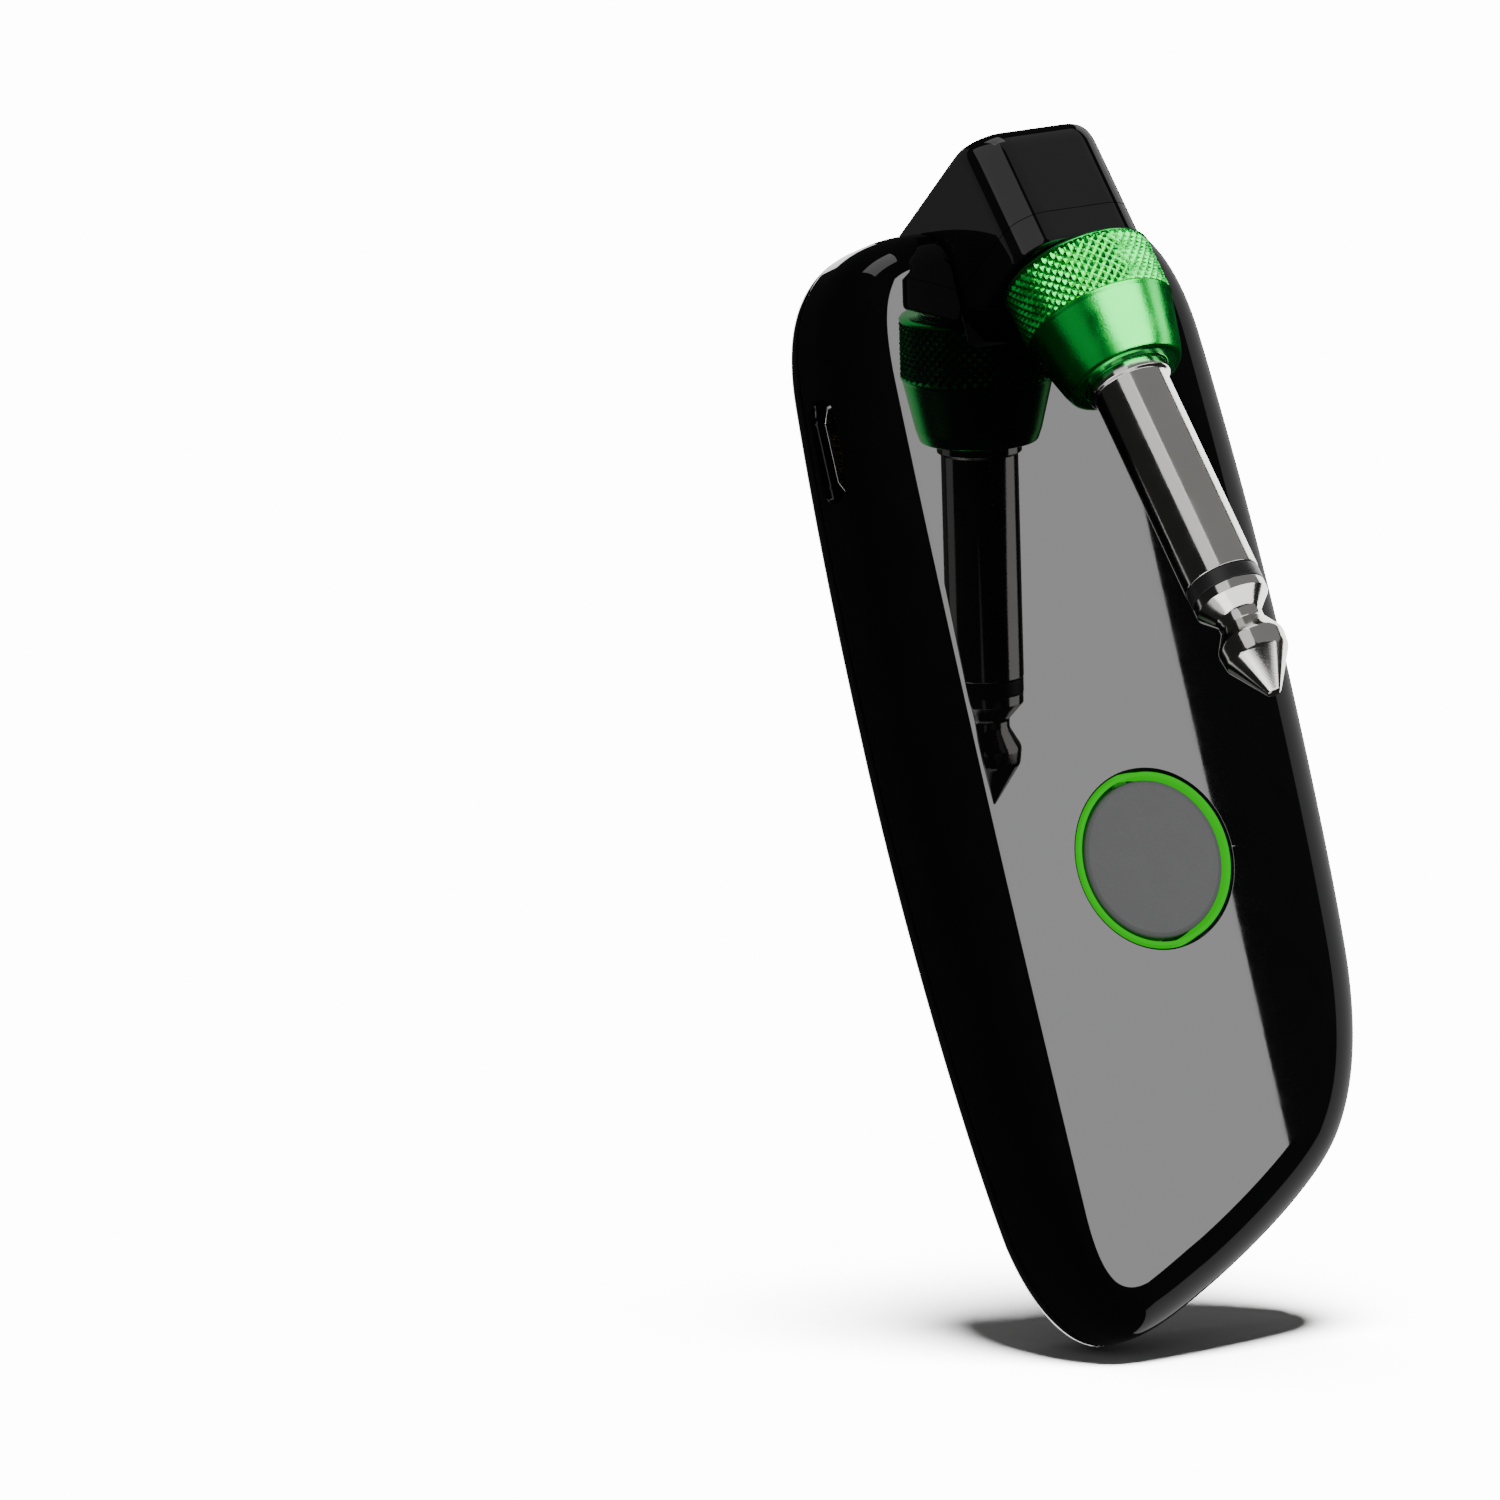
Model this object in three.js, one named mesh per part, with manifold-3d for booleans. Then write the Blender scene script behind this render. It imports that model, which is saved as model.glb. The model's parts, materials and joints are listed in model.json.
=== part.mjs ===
// A clip-sized wireless transmitter for an electric guitar, built as an assembly.
// Two glossy half shells make a flat, pick-shaped housing. Its top is split into two horns, and
// between them a folding arm carries a 6.35 mm phone plug held by a knurled nut.
// Units are millimetres. Housing frame: +X to the right seen from the front, +Y to the back,
// +Z up along the housing, origin at the housing's centre. The exported group is moved so that its
// own origin is the centre of the plug's shoulder, the face that meets the guitar's socket.
import * as THREE from "three";
import { mergeVertices } from "three/addons/utils/BufferGeometryUtils.js";
import Module from "manifold-3d";

const wasm = await Module();
wasm.setup();

// ---- Driving dimensions ----
const THICKNESS = 13.3;
const EDGE_RADIUS = 5.5;
const WALL = 1.6;
const SEAM_Y = 1.6; // the two half shells part a little behind the middle
const SEAM_GAP = 0.3;
const CURVE_STEPS = 6;
const ROUND_STEPS = 4;

const HALF = THICKNESS / 2;

const HINGE_Z = 42.6; // height of the fold axis in the housing
const BARREL_RADIUS = 5.3;
const ARM_WIDTH = 12;
const POCKET_HALF = 6.4; // half the distance between the horns
const NOTCH_BOTTOM = 36.6; // where the front wall stops below the barrel
const POCKET_BOTTOM = 24.5; // the pocket in the back takes the arm when it folds behind
const POCKET_FLOOR = -5.5; // y of the pocket's floor
const REST_TILT = 20.9; // degrees that the arm is open at rest, from the plug lying along the front

const PLUG_OFFSET = 13; // from the fold axis to the plug's axis
const SHOULDER_DROP = 17.8; // from the fold axis down to the plug's shoulder
const PLUG_LENGTH = 30.5;
const PLUG_RADIUS = 3.175;

const BUTTON_Z = -7;
const BUTTON_RADIUS = 6.4;
const RING_INNER = 6.75;
const RING_OUTER = 7.25;

const PORT_Z = 30.75; // the charging socket, in the left side
const PORT_Y = -0.9;
const PORT_LENGTH = 8.6;
const PORT_HEIGHT = 3.4;
const PAIR_Z = 33; // the pairing key, in the right side
const PAIR_LENGTH = 5.4;
const PAIR_HEIGHT = 2.4;

const LAMP_TOP_Z = 4.85; // the uppermost of the four charge lamps in the back
const LAMP_PITCH = 3.0;
const LAMP_COUNT = 4;

const BOARD_FRONT = -3.6;
const BOARD_BACK = -2.6;

// ---- Materials ----
function finish(color, roughness, metalness = 0) {
  return new THREE.MeshStandardMaterial({ color, roughness, metalness });
}
const GLOSS_BLACK = finish(0x060607, 0.06);
const SATIN_GREY = finish(0x6d6e70, 0.55);
const LIGHT_GREEN = finish(0x19d92b, 0.35);
const ANODISED_GREEN = finish(0x12b83f, 0.28, 0.9);
const NICKEL = finish(0xc9c9c6, 0.16, 1);
const STEEL = finish(0x9a9a98, 0.35, 1);
const BRASS = finish(0xb5985a, 0.35, 1);
const PLASTIC_BLACK = finish(0x111112, 0.5);
const BOARD_GREEN = finish(0x1d4a2c, 0.6);
const FOIL_SILVER = finish(0xaeb2b4, 0.4, 0.6);
const CLEAR_PIPE = finish(0xd9f7dc, 0.15);
const WIRE_GREY = finish(0x55585a, 0.6);
const WIRE_RED = finish(0xb32420, 0.6);
const WIRE_BLACK = finish(0x1a1a1a, 0.6);
const CERAMIC_WHITE = finish(0xe2e0da, 0.5);
const NYLON_WHITE = finish(0xdcdad2, 0.5);

// ---- Solids ----
function solid(geometry) {
  const bare = geometry.clone();
  for (const name of Object.keys(bare.attributes)) {
    if (name !== "position") bare.deleteAttribute(name);
  }
  const merged = mergeVertices(bare, 1e-4);
  return new wasm.Manifold(
    new wasm.Mesh({
      numProp: 3,
      vertProperties: new Float32Array(merged.attributes.position.array),
      triVerts: new Uint32Array(merged.index.array),
    }),
  );
}

function mesh(name, shape, material) {
  const data = shape.getMesh();
  const position = new Float32Array(data.numVert * 3);
  for (let i = 0; i < data.numVert; i++) {
    const start = i * data.numProp;
    position.set(data.vertProperties.subarray(start, start + 3), i * 3);
  }
  const geometry = new THREE.BufferGeometry();
  geometry.setAttribute("position", new THREE.BufferAttribute(position, 3));
  geometry.setIndex(new THREE.BufferAttribute(new Uint32Array(data.triVerts), 1));
  geometry.computeVertexNormals();
  const made = new THREE.Mesh(geometry, material);
  made.name = name;
  return made;
}

// A box from its lowest to its highest corner.
function box(low, high) {
  const size = high.map((value, i) => value - low[i]);
  const centre = high.map((value, i) => (value + low[i]) / 2);
  return solid(new THREE.BoxGeometry(...size).translate(...centre));
}

// A cylinder along x, y or z from one coordinate to another, with its centre in the other two.
function rod(axis, radius, from, to, centre, sides = 24) {
  const geometry = new THREE.CylinderGeometry(radius, radius, to - from, sides);
  const middle = (from + to) / 2;
  if (axis === "x") geometry.rotateZ(-Math.PI / 2).translate(middle, ...centre);
  if (axis === "y") geometry.translate(centre[0], middle, centre[1]);
  if (axis === "z") geometry.rotateX(Math.PI / 2).translate(...centre, middle);
  return solid(geometry);
}

function tube(axis, outer, inner, from, to, centre, sides = 24) {
  const bore = rod(axis, inner, from - 1, to + 1, centre, sides);
  return rod(axis, outer, from, to, centre, sides).subtract(bore);
}

// A solid turned about a vertical axis from a closed profile of [radius, z] pairs.
function turned(profile, sides = 32) {
  const points = profile.map(([radius, z]) => new THREE.Vector2(radius, z));
  const area = THREE.ShapeUtils.area(points);
  const ordered = area < 0 ? points.reverse() : points;
  return solid(new THREE.LatheGeometry(ordered, sides).rotateX(Math.PI / 2));
}

// A stadium-shaped block along x: long in z, short in y, with round ends.
function pill(fromX, toX, length, height, [centreY, centreZ]) {
  const radius = height / 2;
  const straight = length / 2 - radius;
  const low = centreZ - straight;
  const high = centreZ + straight;
  return box([fromX, centreY - radius, low], [toX, centreY + radius, high])
    .add(rod("x", radius, fromX, toX, [centreY, low], 20))
    .add(rod("x", radius, fromX, toX, [centreY, high], 20));
}

// A round lead through a list of points, with a closed end at each.
function lead(points, radius) {
  const path = new THREE.CatmullRomCurve3(points.map((p) => new THREE.Vector3(...p)));
  const section = new THREE.Shape().absarc(0, 0, radius, 0, 2 * Math.PI);
  const steps = Math.max(8, Math.round(path.getLength() / (4 * radius)));
  return solid(
    new THREE.ExtrudeGeometry(section, { extrudePath: path, steps, curveSegments: 8 }),
  );
}

// ---- The housing's outline, in x and z, clockwise from the top left ----
function outlineShape() {
  return new THREE.Shape()
    .moveTo(-7.5, 47.3)
    .lineTo(7.5, 47.3)
    .bezierCurveTo(13.6, 47.2, 17.3, 43.2, 18.05, 35.6)
    .bezierCurveTo(19, 25, 19.45, 15, 19.4, 5)
    .bezierCurveTo(19.35, -3, 19.2, -10, 18.8, -16)
    .bezierCurveTo(18.4, -22.6, 16.6, -29, 12.6, -32.95)
    .bezierCurveTo(9.7, -35.85, 3.3, -39.7, -1.85, -42.1)
    .bezierCurveTo(-4, -43.1, -6.5, -44.3, -8.6, -44.7)
    .bezierCurveTo(-12.3, -45.5, -15.2, -40.5, -16.3, -35.3)
    .bezierCurveTo(-17.7, -27, -19.1, -10, -19.1, 5)
    .bezierCurveTo(-19.1, 15, -18.9, 25, -18.15, 35.6)
    .bezierCurveTo(-17.6, 43.7, -14, 47.3, -7.5, 47.3);
}

// The edges of the flat faces, each with the same run of curves as the outline.
function frontFaceShape() {
  return new THREE.Shape()
    .moveTo(-9.5, 43.4)
    .lineTo(9, 43.4)
    .bezierCurveTo(11.6, 43.3, 12.9, 41, 13, 35.2)
    .bezierCurveTo(13.3, 25, 13.4, 15, 13.3, 5)
    .bezierCurveTo(13.3, -3, 13.2, -9.5, 12.9, -15.6)
    .bezierCurveTo(12.6, -21.3, 11.9, -26.3, 9, -29.9)
    .bezierCurveTo(6.6, -32.3, 0.2, -36, -3.8, -37.9)
    .bezierCurveTo(-5.6, -38.7, -7.6, -39.7, -9.3, -40.4)
    .bezierCurveTo(-12.4, -41.7, -13.9, -40.2, -13.9, -34.5)
    .bezierCurveTo(-13.9, -27, -13.9, -10, -13.9, 5)
    .bezierCurveTo(-13.9, 15, -13.9, 25, -13.8, 35.2)
    .bezierCurveTo(-13.7, 41.2, -12.6, 43.4, -9.5, 43.4);
}

function backFaceShape() {
  return new THREE.Shape()
    .moveTo(-7.3, 41.8)
    .lineTo(7.3, 41.8)
    .bezierCurveTo(10.3, 41.7, 12.2, 39.5, 12.65, 35.2)
    .bezierCurveTo(13.5, 25, 13.9, 15, 13.9, 5)
    .bezierCurveTo(13.9, -3, 13.7, -9.5, 13.3, -15.6)
    .bezierCurveTo(12.9, -21.1, 11.8, -26.2, 9.1, -28.6)
    .bezierCurveTo(6.4, -31.2, 0.4, -34.8, -3.9, -37.1)
    .bezierCurveTo(-5.3, -37.8, -6.6, -38.5, -7.8, -38.9)
    .bezierCurveTo(-9.5, -39.4, -10.3, -37, -10.9, -34.2)
    .bezierCurveTo(-12.1, -27, -13.7, -10, -13.7, 5)
    .bezierCurveTo(-13.7, 15, -13.5, 25, -12.8, 35.2)
    .bezierCurveTo(-12.3, 39.5, -10.3, 41.8, -7.3, 41.8);
}

// A closed shape's points, anticlockwise.
function ringPoints(shape) {
  return shape.getPoints(CURVE_STEPS).slice(0, -1).reverse();
}

// The outline, each point moved inwards by a distance along its own normal.
function outline(inset) {
  const points = ringPoints(outlineShape());
  const count = points.length;
  return points.map((point, i) => {
    const before = points[(i + count - 1) % count];
    const after = points[(i + 1) % count];
    const along = after.clone().sub(before).normalize();
    return new THREE.Vector2(point.x - along.y * inset, point.y + along.x * inset);
  });
}

// A solid through rings of outline points at rising y.
function stack(rings) {
  const count = rings[0].points.length;
  const position = rings.flatMap(({ y, points }) => points.flatMap((p) => [p.x, y, p.y]));
  const index = [];
  for (let r = 0; r + 1 < rings.length; r++) {
    for (let i = 0; i < count; i++) {
      const a = r * count + i;
      const b = r * count + ((i + 1) % count);
      index.push(b, a, a + count, b, a + count, b + count);
    }
  }
  const last = (rings.length - 1) * count;
  for (const [a, b, c] of THREE.ShapeUtils.triangulateShape(rings[0].points, [])) {
    index.push(a, b, c);
  }
  for (const [a, b, c] of THREE.ShapeUtils.triangulateShape(rings.at(-1).points, [])) {
    index.push(last + a, last + c, last + b);
  }
  const geometry = new THREE.BufferGeometry();
  geometry.setAttribute("position", new THREE.BufferAttribute(new Float32Array(position), 3));
  geometry.setIndex(index);
  return solid(geometry);
}

// The rounded slab, shrunk by a distance all round. Its edges run from the outline to the faces.
function slab(shrink, steps) {
  const side = outline(shrink);
  const rise = EDGE_RADIUS - shrink;
  const edge = (shape, sign) => {
    const face = ringPoints(shape);
    return Array.from({ length: steps + 1 }, (_, i) => {
      const turn = (i / steps) * (Math.PI / 2);
      return {
        y: sign * (HALF - EDGE_RADIUS + rise * Math.sin(turn)),
        points: side.map((point, j) => point.clone().lerp(face[j], 1 - Math.cos(turn))),
      };
    });
  };
  return stack([...edge(frontFaceShape(), -1).reverse(), ...edge(backFaceShape(), 1)]);
}

// ---- Housing ----
const TOP = 60; // above everything
const OUT = 12; // beyond both faces
const SIDE = 24; // beyond both sides

// The space the arm turns in: through at the top, closed in front below.
function pocket(grow) {
  const half = POCKET_HALF + grow;
  const notch = box([-half, -OUT, NOTCH_BOTTOM - grow], [half, OUT, TOP]);
  return box([-half, POCKET_FLOOR - grow, POCKET_BOTTOM - grow], [half, OUT, TOP]).add(notch);
}

function hingeHoles() {
  return rod("x", 1.65, -9.4, 9.4, [0, HINGE_Z], 20);
}

function portHole() {
  return pill(-SIDE, -16, PORT_LENGTH, PORT_HEIGHT, [PORT_Y, PORT_Z]);
}

function pairHole() {
  return pill(16, SIDE, PAIR_LENGTH + 0.5, PAIR_HEIGHT + 0.5, [PORT_Y, PAIR_Z]);
}

function shells() {
  const hollow = slab(WALL, ROUND_STEPS - 1).subtract(pocket(1.2));
  return slab(0, ROUND_STEPS)
    .subtract(hollow)
    .subtract(pocket(0))
    .subtract(hingeHoles())
    .subtract(portHole())
    .subtract(pairHole());
}

const SCREWS = [
  [-12.6, 22.6],
  [12.6, 22.6],
  [-13.4, -8.5],
  [13.4, -8.5],
];

function frontShell() {
  const front = box([-SIDE, -OUT, -TOP], [SIDE, SEAM_Y - SEAM_GAP / 2, TOP]);
  const shell = shells()
    .intersect(front)
    .subtract(rod("y", RING_OUTER + 0.17, -OUT, 0, [0, BUTTON_Z], 40));
  return SCREWS.reduce(
    (made, at) =>
      made
        .add(rod("y", 2.0, INNER_FACE - 0.4, BOARD_FRONT - 0.1, at, 16))
        .subtract(rod("y", 0.75, INNER_FACE + 0.1, 0, at, 12)),
    shell,
  );
}

function backShell() {
  const back = box([-SIDE, SEAM_Y + SEAM_GAP / 2, -TOP], [SIDE, OUT, TOP]);
  return lampHeights().reduce(
    (made, z) => made.subtract(rod("y", 0.42, 0, OUT, [0, z], 12)),
    shells().intersect(back),
  );
}

function lampHeights() {
  return Array.from({ length: LAMP_COUNT }, (_, i) => LAMP_TOP_Z - i * LAMP_PITCH);
}

// The round key on the front, its light ring, and the switch under it.
const KEY_FACE = -HALF + 0.12; // the key sits just below the face
const RING_FACE = -HALF - 0.12;
const INNER_FACE = -HALF + WALL;

function lightRing() {
  const rim = tube("y", RING_OUTER, RING_INNER, RING_FACE, INNER_FACE + 0.3, [0, BUTTON_Z], 40);
  const flange = tube("y", 8.4, RING_INNER, INNER_FACE + 0.2, INNER_FACE + 0.8, [0, BUTTON_Z], 40);
  return rim.add(flange);
}

const SWITCH_FRONT = BOARD_FRONT - 0.75;

// The key's cap has a bevelled rim, and a stem that presses the switch.
function powerButton() {
  const centre = [0, BUTTON_Z];
  const cap = rod("y", BUTTON_RADIUS, KEY_FACE + 0.35, INNER_FACE - 0.1, centre, 40);
  const rim = new THREE.CylinderGeometry(BUTTON_RADIUS, BUTTON_RADIUS - 0.35, 0.4, 40);
  const stem = rod("y", 1.2, INNER_FACE - 0.3, SWITCH_FRONT - 0.45, centre, 16);
  return cap.add(solid(rim.translate(0, KEY_FACE + 0.2, BUTTON_Z))).add(stem);
}

function powerSwitch() {
  return box([-2.6, SWITCH_FRONT, BUTTON_Z - 2.6], [2.6, BOARD_FRONT - 0.05, BUTTON_Z + 2.6]);
}

function lightRingLamp(x, z) {
  return box([x - 0.6, BOARD_FRONT - 0.45, z - 0.3], [x + 0.6, BOARD_FRONT - 0.05, z + 0.3]);
}

// The board follows the housing's outline, with two ears beside the pocket.
function mainBoard() {
  const ear = POCKET_HALF + 1.5;
  const plate = stack([
    { y: BOARD_FRONT, points: outline(3.4) },
    { y: BOARD_BACK, points: outline(3.4) },
  ])
    .subtract(box([-SIDE, -OUT, 36], [SIDE, OUT, TOP]))
    .subtract(box([-ear, -OUT, POCKET_BOTTOM - 1.5], [ear, OUT, TOP]))
    .subtract(box([-SIDE, -OUT, -TOP], [SIDE, OUT, -35]));
  return SCREWS.reduce((made, at) => made.subtract(rod("y", 0.8, -OUT, 0, at, 12)), plate);
}

function boardScrew([x, z]) {
  return rod("y", 0.62, INNER_FACE + 0.3, BOARD_BACK + 0.3, [x, z], 12).add(
    rod("y", 1.5, BOARD_BACK + 0.1, BOARD_BACK + 0.9, [x, z], 16),
  );
}

function radioShield() {
  const outer = box([-7.5, BOARD_BACK + 0.05, 6.5], [7.5, BOARD_BACK + 2.3, 19.5]);
  return outer.subtract(box([-7.2, BOARD_BACK, 6.8], [7.2, BOARD_BACK + 2.0, 19.2]));
}

function chipAntenna() {
  return box([9.8, BOARD_BACK + 0.05, 12], [11.4, BOARD_BACK + 1.25, 21]);
}

function battery() {
  return box([-12.4, BOARD_BACK + 0.9, -30.8], [8, 4.3, -12.8]);
}

function batteryTab() {
  return box([-6, BOARD_BACK + 0.9, -12.6], [3, 1.4, -11.2]);
}

// Micro-B charging socket: a folded steel shell with a tongue, on the board's back.
const SOCKET_MOUTH = -17.4;

function socketSection(grow) {
  const side = 1.3 + grow;
  const wide = 3.75 + grow;
  return new THREE.Shape()
    .moveTo(-side, -wide)
    .lineTo(0.2, -wide)
    .lineTo(side, -wide + 1)
    .lineTo(side, wide - 1)
    .lineTo(0.2, wide)
    .lineTo(-side, wide);
}

function alongX(section, fromX, toX, centreZ) {
  const geometry = new THREE.ExtrudeGeometry(section, {
    depth: toX - fromX,
    bevelEnabled: false,
    curveSegments: 4,
  });
  geometry.rotateX(Math.PI / 2).rotateZ(Math.PI / 2);
  return solid(geometry.translate(fromX, PORT_Y, centreZ));
}

function socketShell() {
  const outer = alongX(socketSection(0), SOCKET_MOUTH, SOCKET_MOUTH + 5.2, PORT_Z);
  const inner = alongX(socketSection(-0.3), SOCKET_MOUTH - 1, SOCKET_MOUTH + 4.9, PORT_Z);
  return outer.subtract(inner);
}

function socketTongue() {
  return box(
    [SOCKET_MOUTH + 0.7, PORT_Y - 0.35, PORT_Z - 2.0],
    [SOCKET_MOUTH + 4.7, PORT_Y + 0.25, PORT_Z + 2.0],
  );
}

// The pairing key in the opposite side, and its switch.
function pairingKey() {
  const at = [PORT_Y, PAIR_Z];
  return pill(15.9, 18.15, PAIR_LENGTH, PAIR_HEIGHT, at).add(
    pill(15.3, 16, PAIR_LENGTH + 0.8, PAIR_HEIGHT + 0.8, at),
  );
}

function pairingSwitch() {
  const body = box([11.4, BOARD_BACK + 0.05, PAIR_Z - 2.3], [14.2, 0.7, PAIR_Z + 2.3]);
  return body.add(box([14.1, PORT_Y - 0.6, PAIR_Z - 1.2], [14.8, PORT_Y + 0.6, PAIR_Z + 1.2]));
}

function lightPipe(z) {
  const stem = rod("y", 0.32, BOARD_BACK + 0.75, HALF - 0.05, [0, z], 12);
  return stem.add(rod("y", 0.9, 3.6, 4.2, [0, z], 12));
}

function chargeLamp(z) {
  return box([-0.8, BOARD_BACK + 0.05, z - 0.4], [0.8, BOARD_BACK + 0.55, z + 0.4]);
}

// ---- Hinge ----
function hingeStub(side) {
  const [from, to] = side < 0 ? [-9.3, -3.4] : [3.4, 9.3];
  return tube("x", 1.5, 1.0, from, to, [0, HINGE_Z], 20);
}

function hingeWasher(side) {
  const [from, to] = side < 0 ? [-6.25, -5.75] : [5.75, 6.25];
  return tube("x", 3.6, 1.75, from, to, [0, HINGE_Z], 24);
}

function bodyLead() {
  return lead(
    [
      [-2.7, 0, HINGE_Z],
      [-6, 0, HINGE_Z],
      [-9.6, 0, HINGE_Z],
      [-11.4, -0.4, HINGE_Z - 1.6],
      [-11.8, -1.0, HINGE_Z - 4.2],
      [-11.4, -1.5, 36.6],
      [-10.2, -1.8, 35.2],
    ],
    0.65,
  );
}

function batteryLead(x, reach) {
  return lead(
    [
      [x, -0.6, -10.9],
      [x, -0.9, -9.6],
      [x + reach / 2, -1.5, -8.0],
      [x + reach, -2.0, -6.2],
    ],
    0.45,
  );
}

// ---- Folding arm, in its own frame: origin on the fold axis, plug pointing down ----
const ARM_HALF = ARM_WIDTH / 2;
const ARM_FRONT = -PLUG_OFFSET - 3.8;
const ARM_LOW = -BARREL_RADIUS;
const ARM_DEEP = ARM_LOW - 1.1; // the underside at the plug's end
const ARM_STEP = -6.9; // where the underside drops
const SHOULDER = -SHOULDER_DROP;
const ARM_SEAM = 0.2;
const STEM_RADIUS = 1.9; // the plug's threaded stem, inside the arm

// The arm seen from the side, in y and z: a round barrel and a leg with a rounded end.
function armSide() {
  const section = new THREE.Shape()
    .moveTo(0, ARM_LOW)
    .lineTo(ARM_STEP, ARM_LOW)
    .lineTo(ARM_STEP, ARM_DEEP)
    .lineTo(ARM_FRONT + 0.6, ARM_DEEP)
    .lineTo(ARM_FRONT, ARM_DEEP + 0.6)
    .lineTo(ARM_FRONT, -ARM_LOW - 2.6)
    .absarc(ARM_FRONT + 2.6, -ARM_LOW - 2.6, 2.6, Math.PI, Math.PI / 2, true)
    .lineTo(0, -ARM_LOW)
    .absarc(0, 0, BARREL_RADIUS, Math.PI / 2, -Math.PI / 2, true);
  const geometry = new THREE.ExtrudeGeometry(section, {
    depth: ARM_WIDTH,
    bevelEnabled: false,
    curveSegments: 10,
  });
  return solid(geometry.rotateX(Math.PI / 2).rotateZ(Math.PI / 2).translate(-ARM_HALF, 0, 0));
}

// The arm seen from above, in x and y: square at the barrel, rounded at the plug's end.
function armPlan() {
  const corner = 3;
  const section = new THREE.Shape()
    .moveTo(ARM_HALF, 8)
    .lineTo(-ARM_HALF, 8)
    .absarc(-ARM_HALF + corner, ARM_FRONT + corner, corner, Math.PI, 1.5 * Math.PI)
    .absarc(ARM_HALF - corner, ARM_FRONT + corner, corner, 1.5 * Math.PI, 2 * Math.PI);
  const geometry = new THREE.ExtrudeGeometry(section, {
    depth: 30,
    bevelEnabled: false,
    curveSegments: 6,
  });
  return solid(geometry.translate(0, 0, -15));
}

function armBlock() {
  const wall = 1.5;
  const low = ARM_LOW + wall;
  const nutRoom = box([-4.4, ARM_FRONT + 0.9, low], [4.4, -9.4, -low]);
  const passage = box([-2.2, -10, -1.4], [2.2, 0, 2.2]);
  return armSide()
    .intersect(armPlan())
    .subtract(nutRoom)
    .subtract(passage)
    .subtract(rod("x", 2.6, -3.3, 3.3, [0, 0], 20))
    .subtract(rod("x", 2.2, -ARM_HALF - 1, ARM_HALF + 1, [0, 0], 20))
    .subtract(tube("x", 3.8, 0.1, ARM_HALF - 0.4, ARM_HALF + 1, [0, 0], 24))
    .subtract(tube("x", 3.8, 0.1, -ARM_HALF - 1, -ARM_HALF + 0.4, [0, 0], 24))
    .subtract(rod("z", STEM_RADIUS + 0.15, ARM_DEEP - 1, 0, [0, -PLUG_OFFSET], 24));
}

// The arm opens at its underside, above the floor that the plug is clamped to.
const ARM_SPLIT = ARM_LOW + 1.8;

function armShell() {
  return armBlock().intersect(box([-20, -30, ARM_SPLIT + ARM_SEAM / 2], [20, 20, 20]));
}

function armUnderplate() {
  return armBlock().intersect(box([-20, -30, -20], [20, 20, ARM_SPLIT - ARM_SEAM / 2]));
}

function hingeBush(side) {
  const [from, to] = side < 0 ? [-5.5, -3.5] : [3.5, 5.5];
  return tube("x", 2.1, 1.62, from, to, [0, 0], 20);
}

function armLead() {
  return lead(
    [
      [-2.1, 0, 0],
      [-0.6, -0.7, 0.1],
      [0, -3.2, 0.3],
      [0, -6.4, 0.5],
      [0, -9.6, -0.2],
    ],
    0.65,
  );
}

// ---- Plug, in a frame with its axis on z and the shoulder at zero, tip pointing down ----
const SLEEVE_END = -19.7;
const RING_END = -21.0;
const NUT_REAR = 10.75; // back of the knurled nut
const STEM_TOP = SHOULDER_DROP - 2.3;
const CORE_RADIUS = 1.4;
const ROD_RADIUS = 0.85;
const NUT_BORE = 3.6;

function plugSleeve() {
  return turned([
    [CORE_RADIUS, SLEEVE_END],
    [PLUG_RADIUS, SLEEVE_END],
    [PLUG_RADIUS, -0.9],
    [3.5, -0.8],
    [3.5, 9.6],
    [STEM_RADIUS, 9.7],
    [STEM_RADIUS, STEM_TOP],
    [CORE_RADIUS, STEM_TOP],
    [CORE_RADIUS, SLEEVE_END],
  ]);
}

function plugInsulator() {
  return turned([
    [ROD_RADIUS + 0.08, RING_END],
    [PLUG_RADIUS - 0.05, RING_END],
    [PLUG_RADIUS - 0.05, SLEEVE_END - 0.05],
    [CORE_RADIUS - 0.08, SLEEVE_END - 0.05],
    [CORE_RADIUS - 0.08, STEM_TOP + 0.5],
    [ROD_RADIUS + 0.08, STEM_TOP + 0.5],
    [ROD_RADIUS + 0.08, RING_END],
  ]);
}

function plugTip() {
  return turned([
    [0, -PLUG_LENGTH],
    [0.4, -PLUG_LENGTH],
    [0.8, -PLUG_LENGTH + 0.4],
    [2.5, -27.2],
    [2.8, -26.2],
    [2.7, -25.3],
    [1.95, -24.1],
    [1.9, -23.3],
    [2.3, -22.6],
    [2.95, -21.9],
    [3.1, -21.7],
    [3.1, RING_END - 0.05],
    [ROD_RADIUS, RING_END - 0.05],
    [ROD_RADIUS, STEM_TOP + 1.4],
    [0, STEM_TOP + 1.4],
  ]);
}

// The knurled nut: a cylinder that narrows in a cone to its rounded mouth.
function knurledNut() {
  return turned([
    [STEM_RADIUS + 0.6, NUT_REAR],
    [5.95, NUT_REAR],
    [6.35, NUT_REAR - 0.4],
    [6.35, 5.6],
    [6.1, 5.3],
    [5.25, 0.9],
    [4.95, 0.3],
    [4.5, 0],
    [NUT_BORE, 0],
    [NUT_BORE, 9.9],
    [STEM_RADIUS + 0.6, 9.9],
    [STEM_RADIUS + 0.6, NUT_REAR],
  ]);
}

function nutWasher() {
  const top = SHOULDER_DROP + ARM_DEEP - 0.1;
  return tube("z", 4.8, STEM_RADIUS + 0.15, NUT_REAR + 0.15, top, [0, 0], 32);
}

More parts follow.
